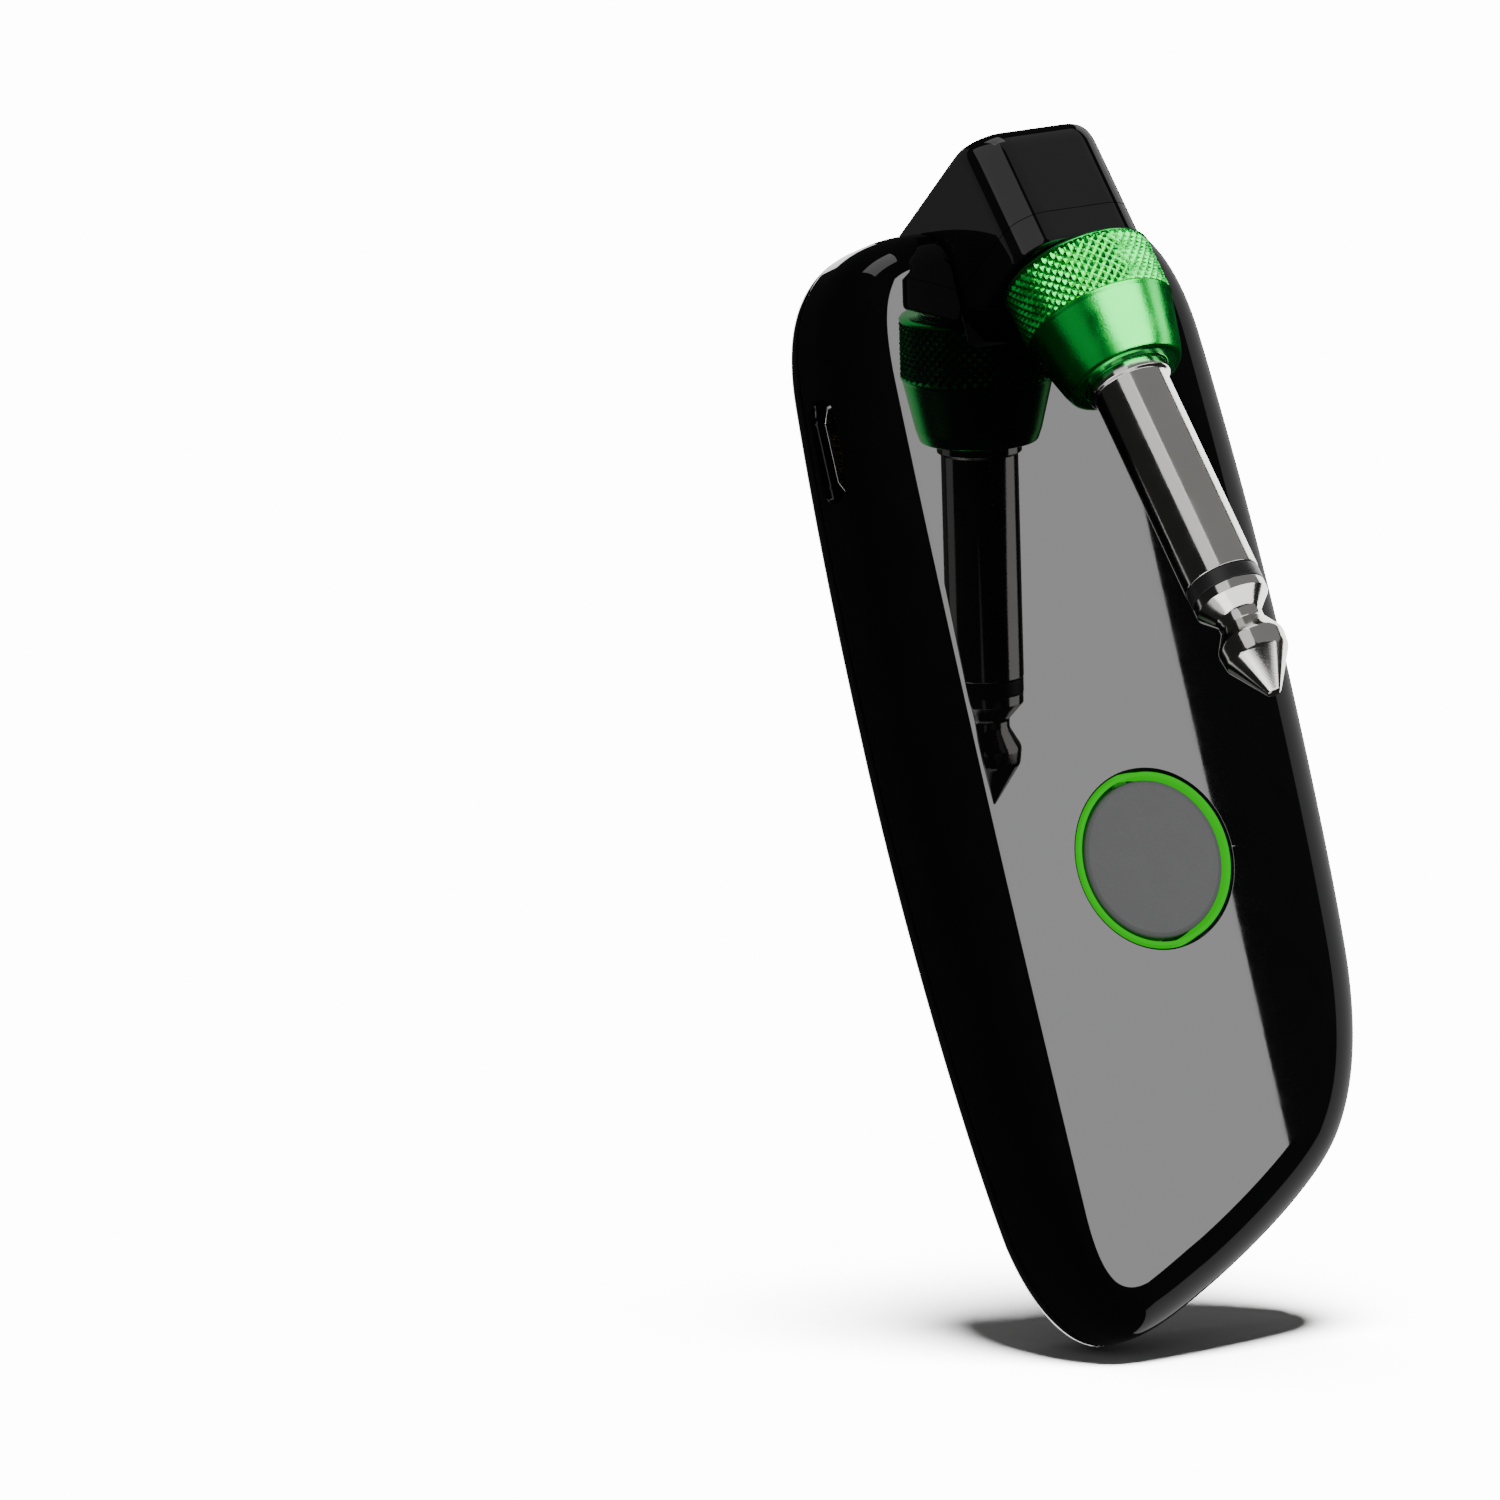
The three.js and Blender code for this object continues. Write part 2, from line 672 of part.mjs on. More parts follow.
function plugLocknut() {
  const low = SHOULDER_DROP + ARM_LOW + 1.6;
  const hexagon = rod("z", 2.85, low, low + 1.1, [0, 0], 6);
  return hexagon.subtract(rod("z", STEM_RADIUS + 0.1, 0, 20, [0, 0], 24));
}

function tipTerminal() {
  const low = STEM_TOP + 0.7;
  return tube("z", 1.4, ROD_RADIUS + 0.08, low, low + 0.4, [0, 0], 16).add(
    box([-0.5, 1.2, low], [0.5, 3.2, low + 0.4]),
  );
}

// ---- Assembly ----
function housingGroup() {
  const group = new THREE.Group();
  group.add(
    mesh("front_shell", frontShell(), GLOSS_BLACK),
    mesh("back_shell", backShell(), GLOSS_BLACK),
    mesh("light_ring", lightRing(), LIGHT_GREEN),
    mesh("power_button", powerButton(), SATIN_GREY),
    mesh("power_switch", powerSwitch(), STEEL),
    mesh("main_board", mainBoard(), BOARD_GREEN),
    mesh("radio_shield", radioShield(), FOIL_SILVER),
    mesh("chip_antenna", chipAntenna(), CERAMIC_WHITE),
    mesh("battery_cell", battery(), FOIL_SILVER),
    mesh("battery_tab_board", batteryTab(), BOARD_GREEN),
    mesh("battery_lead_red", batteryLead(-3.4, -2.2), WIRE_RED),
    mesh("battery_lead_black", batteryLead(0.6, 2.6), WIRE_BLACK),
    mesh("charging_socket_shell", socketShell(), NICKEL),
    mesh("charging_socket_tongue", socketTongue(), PLASTIC_BLACK),
    mesh("pairing_button", pairingKey(), PLASTIC_BLACK),
    mesh("pairing_switch", pairingSwitch(), STEEL),
    mesh("body_lead", bodyLead(), WIRE_GREY),
  );
  lampHeights().forEach((z, i) => {
    group.add(
      mesh(`charge_lamp_${i + 1}`, chargeLamp(z), CERAMIC_WHITE),
      mesh(`light_pipe_${i + 1}`, lightPipe(z), CLEAR_PIPE),
    );
  });
  for (const [name, x, z] of [
    ["left", -6.6, 0],
    ["right", 6.6, 0],
    ["top", 0, 6.6],
    ["bottom", 0, -6.6],
  ]) {
    group.add(mesh(`ring_lamp_${name}`, lightRingLamp(x, BUTTON_Z + z), CERAMIC_WHITE));
  }
  SCREWS.forEach((at, i) => {
    group.add(mesh(`board_screw_${i + 1}`, boardScrew(at), STEEL));
  });
  for (const [name, side] of [["left", -1], ["right", 1]]) {
    group.add(
      mesh(`hinge_stub_${name}`, hingeStub(side), STEEL),
      mesh(`hinge_washer_${name}`, hingeWasher(side), NYLON_WHITE),
    );
  }
  return group;
}

function plugGroup() {
  const group = new THREE.Group();
  group.add(
    mesh("plug_sleeve", plugSleeve(), NICKEL),
    mesh("plug_insulator", plugInsulator(), PLASTIC_BLACK),
    mesh("plug_tip", plugTip(), NICKEL),
    mesh("knurled_nut", knurledNut(), ANODISED_GREEN),
    mesh("nut_washer", nutWasher(), NICKEL),
    mesh("plug_locknut", plugLocknut(), BRASS),
    mesh("tip_terminal", tipTerminal(), BRASS),
  );
  group.position.set(0, -PLUG_OFFSET, SHOULDER);
  return group;
}

function armGroup() {
  const group = new THREE.Group();
  group.add(
    mesh("arm_shell", armShell(), GLOSS_BLACK),
    mesh("arm_underplate", armUnderplate(), GLOSS_BLACK),
    mesh("hinge_bush_left", hingeBush(-1), BRASS),
    mesh("hinge_bush_right", hingeBush(1), BRASS),
    mesh("arm_lead", armLead(), WIRE_GREY),
    plugGroup(),
  );
  group.position.set(0, 0, HINGE_Z);
  group.rotation.x = -THREE.MathUtils.degToRad(REST_TILT);
  return group;
}

const transmitter = new THREE.Group();
transmitter.add(housingGroup(), armGroup());

// The shoulder's place at rest becomes the origin.
const shoulder = new THREE.Vector3(0, -PLUG_OFFSET, SHOULDER)
  .applyAxisAngle(new THREE.Vector3(1, 0, 0), -THREE.MathUtils.degToRad(REST_TILT))
  .add(new THREE.Vector3(0, 0, HINGE_Z));
transmitter.position.copy(shoulder).negate();

export default transmitter;
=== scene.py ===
"""A wireless guitar transmitter: the detailed visual model, in the frame that the CAD defines.

Each piece is built in millimetres in one of three local frames, the housing's, the folding arm's or
the plug's, and is then placed in the shared frame in metres.
"""

import json
import math

import bmesh
import bpy
from mathutils import Matrix, Vector


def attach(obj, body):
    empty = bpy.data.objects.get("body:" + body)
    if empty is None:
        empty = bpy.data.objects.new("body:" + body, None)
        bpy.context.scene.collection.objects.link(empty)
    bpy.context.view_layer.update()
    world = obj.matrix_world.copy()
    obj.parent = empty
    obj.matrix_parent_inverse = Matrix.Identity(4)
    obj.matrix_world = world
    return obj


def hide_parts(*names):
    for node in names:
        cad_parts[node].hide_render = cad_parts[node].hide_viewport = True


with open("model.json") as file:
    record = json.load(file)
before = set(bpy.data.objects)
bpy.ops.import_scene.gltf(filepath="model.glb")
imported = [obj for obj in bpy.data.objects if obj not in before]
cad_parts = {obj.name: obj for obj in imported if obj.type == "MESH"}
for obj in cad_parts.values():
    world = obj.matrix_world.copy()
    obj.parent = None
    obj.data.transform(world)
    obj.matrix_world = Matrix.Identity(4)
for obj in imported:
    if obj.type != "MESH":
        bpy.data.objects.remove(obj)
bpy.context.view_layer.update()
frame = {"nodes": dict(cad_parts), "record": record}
NODES = frame["nodes"]

# ---- Dimensions, in millimetres ----
HALF = 6.65  # half of the housing's thickness
EDGE = 5.5  # how deep its rounded edges go
WALL = 1.6
SEAM_Y = 1.6
SEAM = 0.07  # half of the line between the shells
PRINT = 0.02  # the printing's height above the back face
HINGE_Z = 42.6
HINGE_HOLE = 1.65
HINGE_REACH = 9.4
BARREL = 5.3  # the radius of the arm's hinge end
ARM_HALF = 6.0
POCKET_HALF = 6.4
POCKET_CORNER = 0.9
NOTCH_BOTTOM = 36.6
POCKET_BOTTOM = 24.5
POCKET_FLOOR = -5.5
TILT = math.radians(20.9)
PLUG_OFFSET = 13.0
SHOULDER_DROP = 17.8
BUTTON_Z = -7.0
BUTTON_HOLE = 7.42
LAMP_HEIGHTS = (4.85, 1.85, -1.15, -4.15)
LAMP_HOLE = 0.42
PORT = (-0.9, 30.75)  # the charging socket's y and z
PORT_HOLE = (8.6, 3.4)
PAIR = (-0.9, 33.0)  # the pairing key's y and z
PAIR_HOLE = (5.9, 2.9)
PAIR_KEY = (5.4, 2.4)
PAIR_FLANGE = (6.2, 3.2)
POCKET_WALL = 1.2

# How finely a slab is drawn: steps along each curve of its outline, and steps round its edges.
FINE = (26, 20)
COARSE = (8, 6)
SMOOTH_UP_TO = math.radians(38)  # edges sharper than this stay sharp in the shading

# ---- Local frames ----
LEAN = Matrix.Rotation(-TILT, 4, "X")
SHOULDER = Vector((0, 0, HINGE_Z)) + LEAN @ Vector((0, -PLUG_OFFSET, -SHOULDER_DROP))
HOUSING = Matrix.Scale(0.001, 4) @ Matrix.Translation(-SHOULDER)
ARM = HOUSING @ Matrix.Translation((0, 0, HINGE_Z)) @ LEAN
PLUG = ARM @ Matrix.Translation((0, -PLUG_OFFSET, -SHOULDER_DROP))


# ---- Materials ----
FINISH = {}


def surface(
    name,
    color,
    roughness,
    metallic=0.0,
    tone=0.12,
    tone_scale=260.0,
    spread=0.03,
    spread_scale=420.0,
    grain=0.0,
    grain_scale=6000.0,
    rings=None,
):
    """A finish: its colour drifts by tone, its roughness by spread, and its grain is a fine bump.
    rings = (axis matrix, wave scale, strength) adds the fine turned lines of a lathe."""
    mat = bpy.data.materials.new(name)
    mat.use_nodes = True
    tree = mat.node_tree
    nodes, link = tree.nodes, tree.links.new
    shader = nodes["Principled BSDF"]
    shader.inputs["Metallic"].default_value = metallic
    where = nodes.new("ShaderNodeTexCoord").outputs["Object"]

    def noise(scale, detail):
        made = nodes.new("ShaderNodeTexNoise")
        made.inputs["Scale"].default_value = scale
        made.inputs["Detail"].default_value = detail
        link(where, made.inputs["Vector"])
        return made.outputs["Fac"]

    drift = nodes.new("ShaderNodeMix")
    drift.data_type = "RGBA"
    low = [max(0.0, c * (1 - tone)) for c in color]
    high = [min(1.0, c * (1 + tone) + 0.002 * tone) for c in color]
    drift.inputs["A"].default_value = (*low, 1)
    drift.inputs["B"].default_value = (*high, 1)
    link(noise(tone_scale, 3.0), drift.inputs["Factor"])
    link(drift.outputs["Result"], shader.inputs["Base Color"])

    rough = nodes.new("ShaderNodeMapRange")
    rough.inputs["From Min"].default_value = 0.3
    rough.inputs["From Max"].default_value = 0.7
    rough.inputs["To Min"].default_value = max(0.01, roughness - spread)
    rough.inputs["To Max"].default_value = roughness + spread
    link(noise(spread_scale, 5.0), rough.inputs["Value"])
    link(rough.outputs["Result"], shader.inputs["Roughness"])

    height = None
    if grain:
        height = nodes.new("ShaderNodeBump")
        height.inputs["Strength"].default_value = grain
        height.inputs["Distance"].default_value = 0.00004
        link(noise(grain_scale, 2.0), height.inputs["Height"])
    if rings:
        axis, wave_scale, strength = rings
        turn = nodes.new("ShaderNodeMapping")
        turn.vector_type = "POINT"
        turn.inputs["Rotation"].default_value = axis.inverted().to_euler()
        link(where, turn.inputs["Vector"])
        wave = nodes.new("ShaderNodeTexWave")
        wave.bands_direction = "Z"
        wave.inputs["Scale"].default_value = wave_scale
        wave.inputs["Distortion"].default_value = 0.6
        wave.inputs["Detail"].default_value = 2.0
        link(turn.outputs["Vector"], wave.inputs["Vector"])
        ring = nodes.new("ShaderNodeBump")
        ring.inputs["Strength"].default_value = strength
        ring.inputs["Distance"].default_value = 0.00002
        link(wave.outputs["Fac"], ring.inputs["Height"])
        if height:
            link(height.outputs["Normal"], ring.inputs["Normal"])
        height = ring
    if height:
        link(height.outputs["Normal"], shader.inputs["Normal"])
    FINISH[name] = mat
    return mat


def glowing(mat, color, strength):
    shader = mat.node_tree.nodes["Principled BSDF"]
    shader.inputs["Emission Color"].default_value = (*color, 1)
    shader.inputs["Emission Strength"].default_value = strength


ALONG_PLUG = LEAN.to_3x3().to_4x4()
surface(
    "housing_gloss",
    (0.0035, 0.0035, 0.004),
    0.014,
    tone=0.25,
    spread=0.004,
    grain=0.002,
    grain_scale=900,
)
surface("key_grey", (0.12, 0.12, 0.124), 0.55, tone=0.03, spread=0.015, grain=0.4, grain_scale=9000)
glowing(surface("light_green", (0.004, 0.3, 0.006), 0.35, tone=0.1, grain=0.1), (0.0, 0.5, 0.0), 1.0)
surface(
    "anodised_green",
    (0.0, 0.68, 0.085),
    0.25,
    metallic=1.0,
    tone=0.08,
    spread=0.05,
    grain=0.25,
    rings=(ALONG_PLUG, 2600, 0.12),
)
surface(
    "nickel",
    (0.66, 0.65, 0.62),
    0.12,
    metallic=1.0,
    tone=0.05,
    spread=0.04,
    grain=0.05,
    rings=(ALONG_PLUG, 3200, 0.05),
)
surface("steel", (0.5, 0.5, 0.49), 0.32, metallic=1.0, grain=0.2)
surface("brass", (0.62, 0.46, 0.2), 0.3, metallic=1.0, grain=0.2)
surface("black_plastic", (0.012, 0.012, 0.013), 0.38, spread=0.06, grain=0.35)
surface("board", (0.015, 0.1, 0.03), 0.5, tone=0.3, grain=0.3)
surface("battery_foil", (0.55, 0.56, 0.58), 0.35, metallic=0.6, grain=0.5, grain_scale=900)
glowing(surface("clear_pipe", (0.4, 0.8, 0.45), 0.2, grain=0.05), (0.05, 0.9, 0.1), 0.8)
surface("wire_grey", (0.12, 0.13, 0.13), 0.5, grain=0.3)
surface("wire_red", (0.45, 0.02, 0.015), 0.45, grain=0.3)
surface("wire_black", (0.015, 0.015, 0.015), 0.45, grain=0.3)
surface("ceramic", (0.72, 0.7, 0.66), 0.4, grain=0.3)
surface("nylon", (0.68, 0.66, 0.6), 0.4, grain=0.2)
surface("print_white", (0.72, 0.73, 0.72), 0.35, tone=0.04, grain=0.3)

for entry in frame["record"]["subparts"]:
    held = NODES[entry["node"]].data.materials
    held.clear()
    held.append(FINISH[entry["material_slot"]])


# ---- Mesh tools ----
def new_object(name, verts, faces):
    mesh = bpy.data.meshes.new(name)
    mesh.from_pydata([tuple(v) for v in verts], [], faces)
    made = bmesh.new()
    made.from_mesh(mesh)
    bmesh.ops.remove_doubles(made, verts=made.verts, dist=1e-5)
    bmesh.ops.recalc_face_normals(made, faces=made.faces)
    made.to_mesh(mesh)
    made.free()
    obj = bpy.data.objects.new(name, mesh)
    bpy.context.scene.collection.objects.link(obj)
    return obj


def settle(obj):
    """The object's modifiers, made permanent."""
    bpy.context.view_layer.update()
    shape = obj.evaluated_get(bpy.context.evaluated_depsgraph_get())
    mesh = bpy.data.meshes.new_from_object(shape)
    obj.modifiers.clear()
    obj.data = mesh
    return obj


def combine(obj, operation, *others):
    for other in others:
        step = obj.modifiers.new("cut", "BOOLEAN")
        step.operation = operation
        step.solver = "EXACT"
        step.object = other
        settle(obj)
        bpy.data.objects.remove(other)
    return obj


def cut(obj, *cutters):
    return combine(obj, "DIFFERENCE", *cutters)


def keep(obj, *shapes):
    return combine(obj, "INTERSECT", *shapes)


def finish(
    obj, name, place, slot, body, *nodes, bevel=0.0, segments=3, angle=32, material=None
):
    """Bevels the piece's sharp edges, puts it in the shared frame and hands it to its body."""
    if bevel:
        step = obj.modifiers.new("edge", "BEVEL")
        step.width = bevel
        step.segments = segments
        step.limit_method = "ANGLE"
        step.angle_limit = math.radians(angle)
        step.use_clamp_overlap = False
        step.miter_outer = "MITER_ARC"
        settle(obj)
    mesh = obj.data
    mesh.transform(place)
    mesh.polygons.foreach_set("use_smooth", [True] * len(mesh.polygons))
    mesh.set_sharp_from_angle(angle=SMOOTH_UP_TO)
    step = obj.modifiers.new("normals", "WEIGHTED_NORMAL")
    step.weight = 100
    step.keep_sharp = True
    settle(obj)
    obj.name = name
    obj.data.name = name
    obj.data.materials.clear()
    obj.data.materials.append(FINISH[material or slot])
    if nodes:
        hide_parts(*nodes)
    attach(obj, body)
    return obj


def block(low, high):
    xs, ys, zs = zip(low, high)
    verts = [(x, y, z) for x in xs for y in ys for z in zs]
    faces = [(0, 1, 3, 2), (4, 6, 7, 5), (0, 4, 5, 1), (2, 3, 7, 6), (0, 2, 6, 4), (1, 5, 7, 3)]
    return new_object("block", verts, faces)


def skinned(name, rings):
    """A closed solid through rings of equally many points: a cap at each end, and sides between."""
    count = len(rings[0])
    verts = [point for ring in rings for point in ring]
    faces = [tuple(range(count)), tuple(range(len(verts) - count, len(verts)))]
    for first in range(0, len(verts) - count, count):
        for i in range(count):
            a, b = first + i, first + (i + 1) % count
            faces.append((a, b, b + count, a + count))
    return new_object(name, verts, faces)


def prism(points, axis, start, end):
    """A closed outline pushed along an axis. points are the other two coordinates, in x, y, z order."""

    def put(point, depth):
        place = list(point)
        place.insert("xyz".index(axis), depth)
        return place

    return skinned("prism", [[put(p, depth) for p in points] for depth in (start, end)])


def on_circle(turn, radius, centre):
    return (centre[0] + radius * math.cos(turn), centre[1] + radius * math.sin(turn))


def circle(radius, centre=(0, 0), count=64):
    return [on_circle(2 * math.pi * i / count, radius, centre) for i in range(count)]


def arc(centre, radius, start, stop, count=12):
    turns = [math.radians(start + (stop - start) * i / count) for i in range(count + 1)]
    return [on_circle(turn, radius, centre) for turn in turns]


def pill_points(length, height, centre, count=20):
    """A stadium, its length along the second coordinate."""
    radius = height / 2
    straight = length / 2 - radius
    points = []
    for side, begin in ((1, 0), (-1, math.pi)):
        end = (centre[0], centre[1] + side * straight)
        points += [on_circle(begin + math.pi * i / count, radius, end) for i in range(count + 1)]
    return points


def filleted(points, steps=5):
    """A closed outline of (a, b, radius), each corner rounded by its radius."""
    made = []
    count = len(points)
    for i, (a, b, radius) in enumerate(points):
        here = Vector((a, b))
        before = Vector(points[i - 1][:2]) - here
        after = Vector(points[(i + 1) % count][:2]) - here
        if radius <= 0:
            made.append(here)
            continue
        opening = before.angle(after)
        if opening > math.pi - 0.02:
            made.append(here)
            continue
        reach = min(radius / math.tan(opening / 2), before.length * 0.49, after.length * 0.49)
        start = here + before.normalized() * reach
        end = here + after.normalized() * reach
        for k in range(steps + 1):
            t = k / steps
            made.append(start * (1 - t) ** 2 + here * 2 * t * (1 - t) + end * t * t)
    return [tuple(p) for p in made]


def lathe(profile, segments=96, relief=None):
    """Turns a closed profile of (radius, z) about z. relief(angle, radius, z) may change a radius."""
    verts, rings = [], []
    for radius, z in profile:
        if radius < 1e-6:
            rings.append([len(verts)] * segments)
            verts.append((0, 0, z))
            continue
        ring = []
        for k in range(segments):
            t = 2 * math.pi * k / segments
            r = relief(t, radius, z) if relief else radius
            ring.append(len(verts))
            verts.append((r * math.cos(t), r * math.sin(t), z))
        rings.append(ring)
    faces = []
    for i, ring in enumerate(rings):
        following = rings[(i + 1) % len(rings)]
        for k in range(segments):
            n = (k + 1) % segments
            corners = [ring[k], ring[n], following[n], following[k]]
            corners = [c for j, c in enumerate(corners) if c not in corners[:j]]
            if len(corners) > 2:
                faces.append(tuple(corners))
    return new_object("turned", verts, faces)


def button_lathe(profile):
    """A turned piece on the round button's axis, which runs along y. profile is (radius, y)."""
    obj = lathe(profile, 160)
    obj.data.transform(Matrix(((1, 0, 0, 0), (0, 0, 1, 0), (0, -1, 0, BUTTON_Z), (0, 0, 0, 1))))
    return obj


# ---- Housing ----
OUTLINE = [
    ((-7.5, 47.3), (7.5, 47.3)),
    ((7.5, 47.3), (13.6, 47.2), (17.3, 43.2), (18.05, 35.6)),
    ((18.05, 35.6), (19, 25), (19.45, 15), (19.4, 5)),
    ((19.4, 5), (19.35, -3), (19.2, -10), (18.8, -16)),
    ((18.8, -16), (18.4, -22.6), (16.6, -29), (12.6, -32.95)),
    ((12.6, -32.95), (9.7, -35.85), (3.3, -39.7), (-1.85, -42.1)),
    ((-1.85, -42.1), (-4, -43.1), (-6.5, -44.3), (-8.6, -44.7)),
    ((-8.6, -44.7), (-12.3, -45.5), (-15.2, -40.5), (-16.3, -35.3)),
    ((-16.3, -35.3), (-17.7, -27), (-19.1, -10), (-19.1, 5)),
    ((-19.1, 5), (-19.1, 15), (-18.9, 25), (-18.15, 35.6)),
    ((-18.15, 35.6), (-17.6, 43.7), (-14, 47.3), (-7.5, 47.3)),
]
FRONT_FACE = [
    ((-9.5, 43.4), (9, 43.4)),
    ((9, 43.4), (11.6, 43.3), (12.9, 41), (13, 35.2)),
    ((13, 35.2), (13.3, 25), (13.4, 15), (13.3, 5)),
    ((13.3, 5), (13.3, -3), (13.2, -9.5), (12.9, -15.6)),
    ((12.9, -15.6), (12.6, -21.3), (11.9, -26.3), (9, -29.9)),
    ((9, -29.9), (6.6, -32.3), (0.2, -36), (-3.8, -37.9)),
    ((-3.8, -37.9), (-5.6, -38.7), (-7.6, -39.7), (-9.3, -40.4)),
    ((-9.3, -40.4), (-12.4, -41.7), (-13.9, -40.2), (-13.9, -34.5)),
    ((-13.9, -34.5), (-13.9, -27), (-13.9, -10), (-13.9, 5)),
    ((-13.9, 5), (-13.9, 15), (-13.9, 25), (-13.8, 35.2)),
    ((-13.8, 35.2), (-13.7, 41.2), (-12.6, 43.4), (-9.5, 43.4)),
]
BACK_FACE = [
    ((-7.3, 41.8), (7.3, 41.8)),
    ((7.3, 41.8), (10.3, 41.7), (12.2, 39.5), (12.65, 35.2)),
    ((12.65, 35.2), (13.5, 25), (13.9, 15), (13.9, 5)),
    ((13.9, 5), (13.9, -3), (13.7, -9.5), (13.3, -15.6)),
    ((13.3, -15.6), (12.9, -21.1), (11.8, -26.2), (9.1, -28.6)),
    ((9.1, -28.6), (6.4, -31.2), (0.4, -34.8), (-3.9, -37.1)),
    ((-3.9, -37.1), (-5.3, -37.8), (-6.6, -38.5), (-7.8, -38.9)),
    ((-7.8, -38.9), (-9.5, -39.4), (-10.3, -37), (-10.9, -34.2)),
    ((-10.9, -34.2), (-12.1, -27), (-13.7, -10), (-13.7, 5)),
    ((-13.7, 5), (-13.7, 15), (-13.5, 25), (-12.8, 35.2)),
    ((-12.8, 35.2), (-12.3, 39.5), (-10.3, 41.8), (-7.3, 41.8)),
]


def curve_points(curves, steps):
    points = []
    for curve in curves:
        for i in range(steps):
            t = i / steps
            if len(curve) == 2:
                points.append(Vector(curve[0]).lerp(Vector(curve[1]), t))
                continue
            a, b, c, d = (Vector(p) for p in curve)
            s = 1 - t
            points.append(a * s**3 + b * 3 * t * s**2 + c * 3 * t * t * s + d * t**3)
    return points


def inset(points, distance):
    count = len(points)
    moved = []
    for i, point in enumerate(points):
        along = (points[(i + 1) % count] - points[i - 1]).normalized()
        moved.append(point + Vector((along.y, -along.x)) * distance)
    return moved


def slab(shrink, steps, turns):
    """The rounded slab: its edges turn from the outline to the flat faces."""
    side = inset(curve_points(OUTLINE, steps), shrink)
    faces_at = {-1: curve_points(FRONT_FACE, steps), 1: curve_points(BACK_FACE, steps)}
    rise = EDGE - shrink
    levels = [(math.pi / 2) * i / turns for i in range(turns + 1)]
    rings = []
    for sign, turn in [(-1, t) for t in reversed(levels)] + [(1, t) for t in levels]:
        lowered = PRINT * math.sin(turn) if sign > 0 else 0  # room for the printing on the back
        y = sign * (HALF - EDGE + rise * math.sin(turn)) - lowered
        share = 1 - math.cos(turn)
        between = (a.lerp(b, share) for a, b in zip(side, faces_at[sign]))
        rings.append([(x, y, z) for x, z in between])
    return skinned("slab", rings)


# Cutters reach well outside the housing, to these distances from its middle.
PAST_TOP = 70
PAST_FACE = 20
PAST_SIDE = 30


def pocket(grow):
    """The space the arm turns in, larger all round by grow, and then with square corners."""
    half = POCKET_HALF + grow
    radius = 0 if grow else POCKET_CORNER

    def opening(bottom, front):
        low = bottom - grow
        outline = [(-half, PAST_TOP, 0), (-half, low, radius), (half, low, radius), (half, PAST_TOP, 0)]
        return prism(filleted(outline), "y", front, PAST_FACE)

    behind = opening(POCKET_BOTTOM, POCKET_FLOOR - grow)
    return combine(behind, "UNION", opening(NOTCH_BOTTOM, -PAST_FACE))


def hinge_hole():
    return prism(circle(HINGE_HOLE, (0, HINGE_Z), 32), "x", -HINGE_REACH, HINGE_REACH)


def layer(low_y, high_y):
    """A block that takes in the whole housing between two places in y."""
    return block((-40, low_y, -80), (40, high_y, 80))


def shell(low_y, high_y, name, node):
    hollow = cut(slab(WALL, *COARSE), pocket(POCKET_WALL))
    openings = [
        pocket(0),
        prism(pill_points(*PORT_HOLE, PORT), "x", -PAST_SIDE, -15),
        prism(pill_points(*PAIR_HOLE, PAIR), "x", 15, PAST_SIDE),
        hinge_hole(),
        prism(circle(BUTTON_HOLE, (0, BUTTON_Z), 128), "y", -PAST_FACE, 0),
    ]
    for height in LAMP_HEIGHTS:
        openings.append(prism(circle(LAMP_HOLE, (0, height), 20), "y", 3, PAST_FACE))
    outer = cut(slab(0, *FINE), hollow)
    keep(outer, layer(low_y, high_y))
    cut(outer, *openings)
    finish(outer, name, HOUSING, "housing_gloss", "housing", node, bevel=0.16, angle=35)


shell(-PAST_FACE, SEAM_Y - SEAM, "shell_front_gloss", "front_shell")
shell(SEAM_Y + SEAM, PAST_FACE, "shell_back_gloss", "back_shell")

# A dark lip closes the line between the shells, just inside it.
LIP_INSET = 0.4
LIP_GAP = 0.01  # between the lip and each shell
lip = cut(slab(LIP_INSET, *FINE), cut(slab(WALL - 0.1, *COARSE), pocket(1.1)))
keep(lip, layer(SEAM_Y - SEAM + LIP_GAP, SEAM_Y + SEAM - LIP_GAP))
cut(lip, pocket(0), hinge_hole())
finish(lip, "seam_lip", HOUSING, "black_plastic", "housing")

# The light ring and the round key, as (radius, y, rounding). The ring is left out of reflections.
RING_OUTER, RING_INNER, RING_FLANGE = 7.2, 6.88, 8.3
ring_profile = [
    (RING_OUTER, -4.5, 0),
    (RING_OUTER, -6.75, 0.1),
    (RING_INNER, -6.75, 0.1),
    (RING_INNER, -4.3, 0),
    (RING_FLANGE, -4.3, 0),
    (RING_FLANGE, -4.6, 0.1),
]
ring = button_lathe(filleted(ring_profile))
finish(ring, "ring_light", HOUSING, "light_green", "housing", "light_ring")
ring.visible_glossy = False

KEY_RADIUS, KEY_STEM = 6.55, 1.2
key_profile = [
    (0, -6.38, 0),
    (3.6, -6.43, 3),
    (6.1, -6.52, 0.3),
    (KEY_RADIUS, -6.42, 0.25),
    (KEY_RADIUS, -5.15, 0.1),
    (KEY_STEM, -5.15, 0),
    (KEY_STEM, -4.8, 0.1),
    (0, -4.8, 0),
]
key = button_lathe(filleted(key_profile))
finish(key, "key_power", HOUSING, "key_grey", "power_key", "power_button")

# The charging socket in the left side: a folded shell, and a tongue with its contacts.
SOCKET_MOUTH = -17.4
SOCKET_DEPTH = 5.2
SOCKET_SHEET = 0.3
CONTACTS = 5
CONTACT_PITCH = 0.65


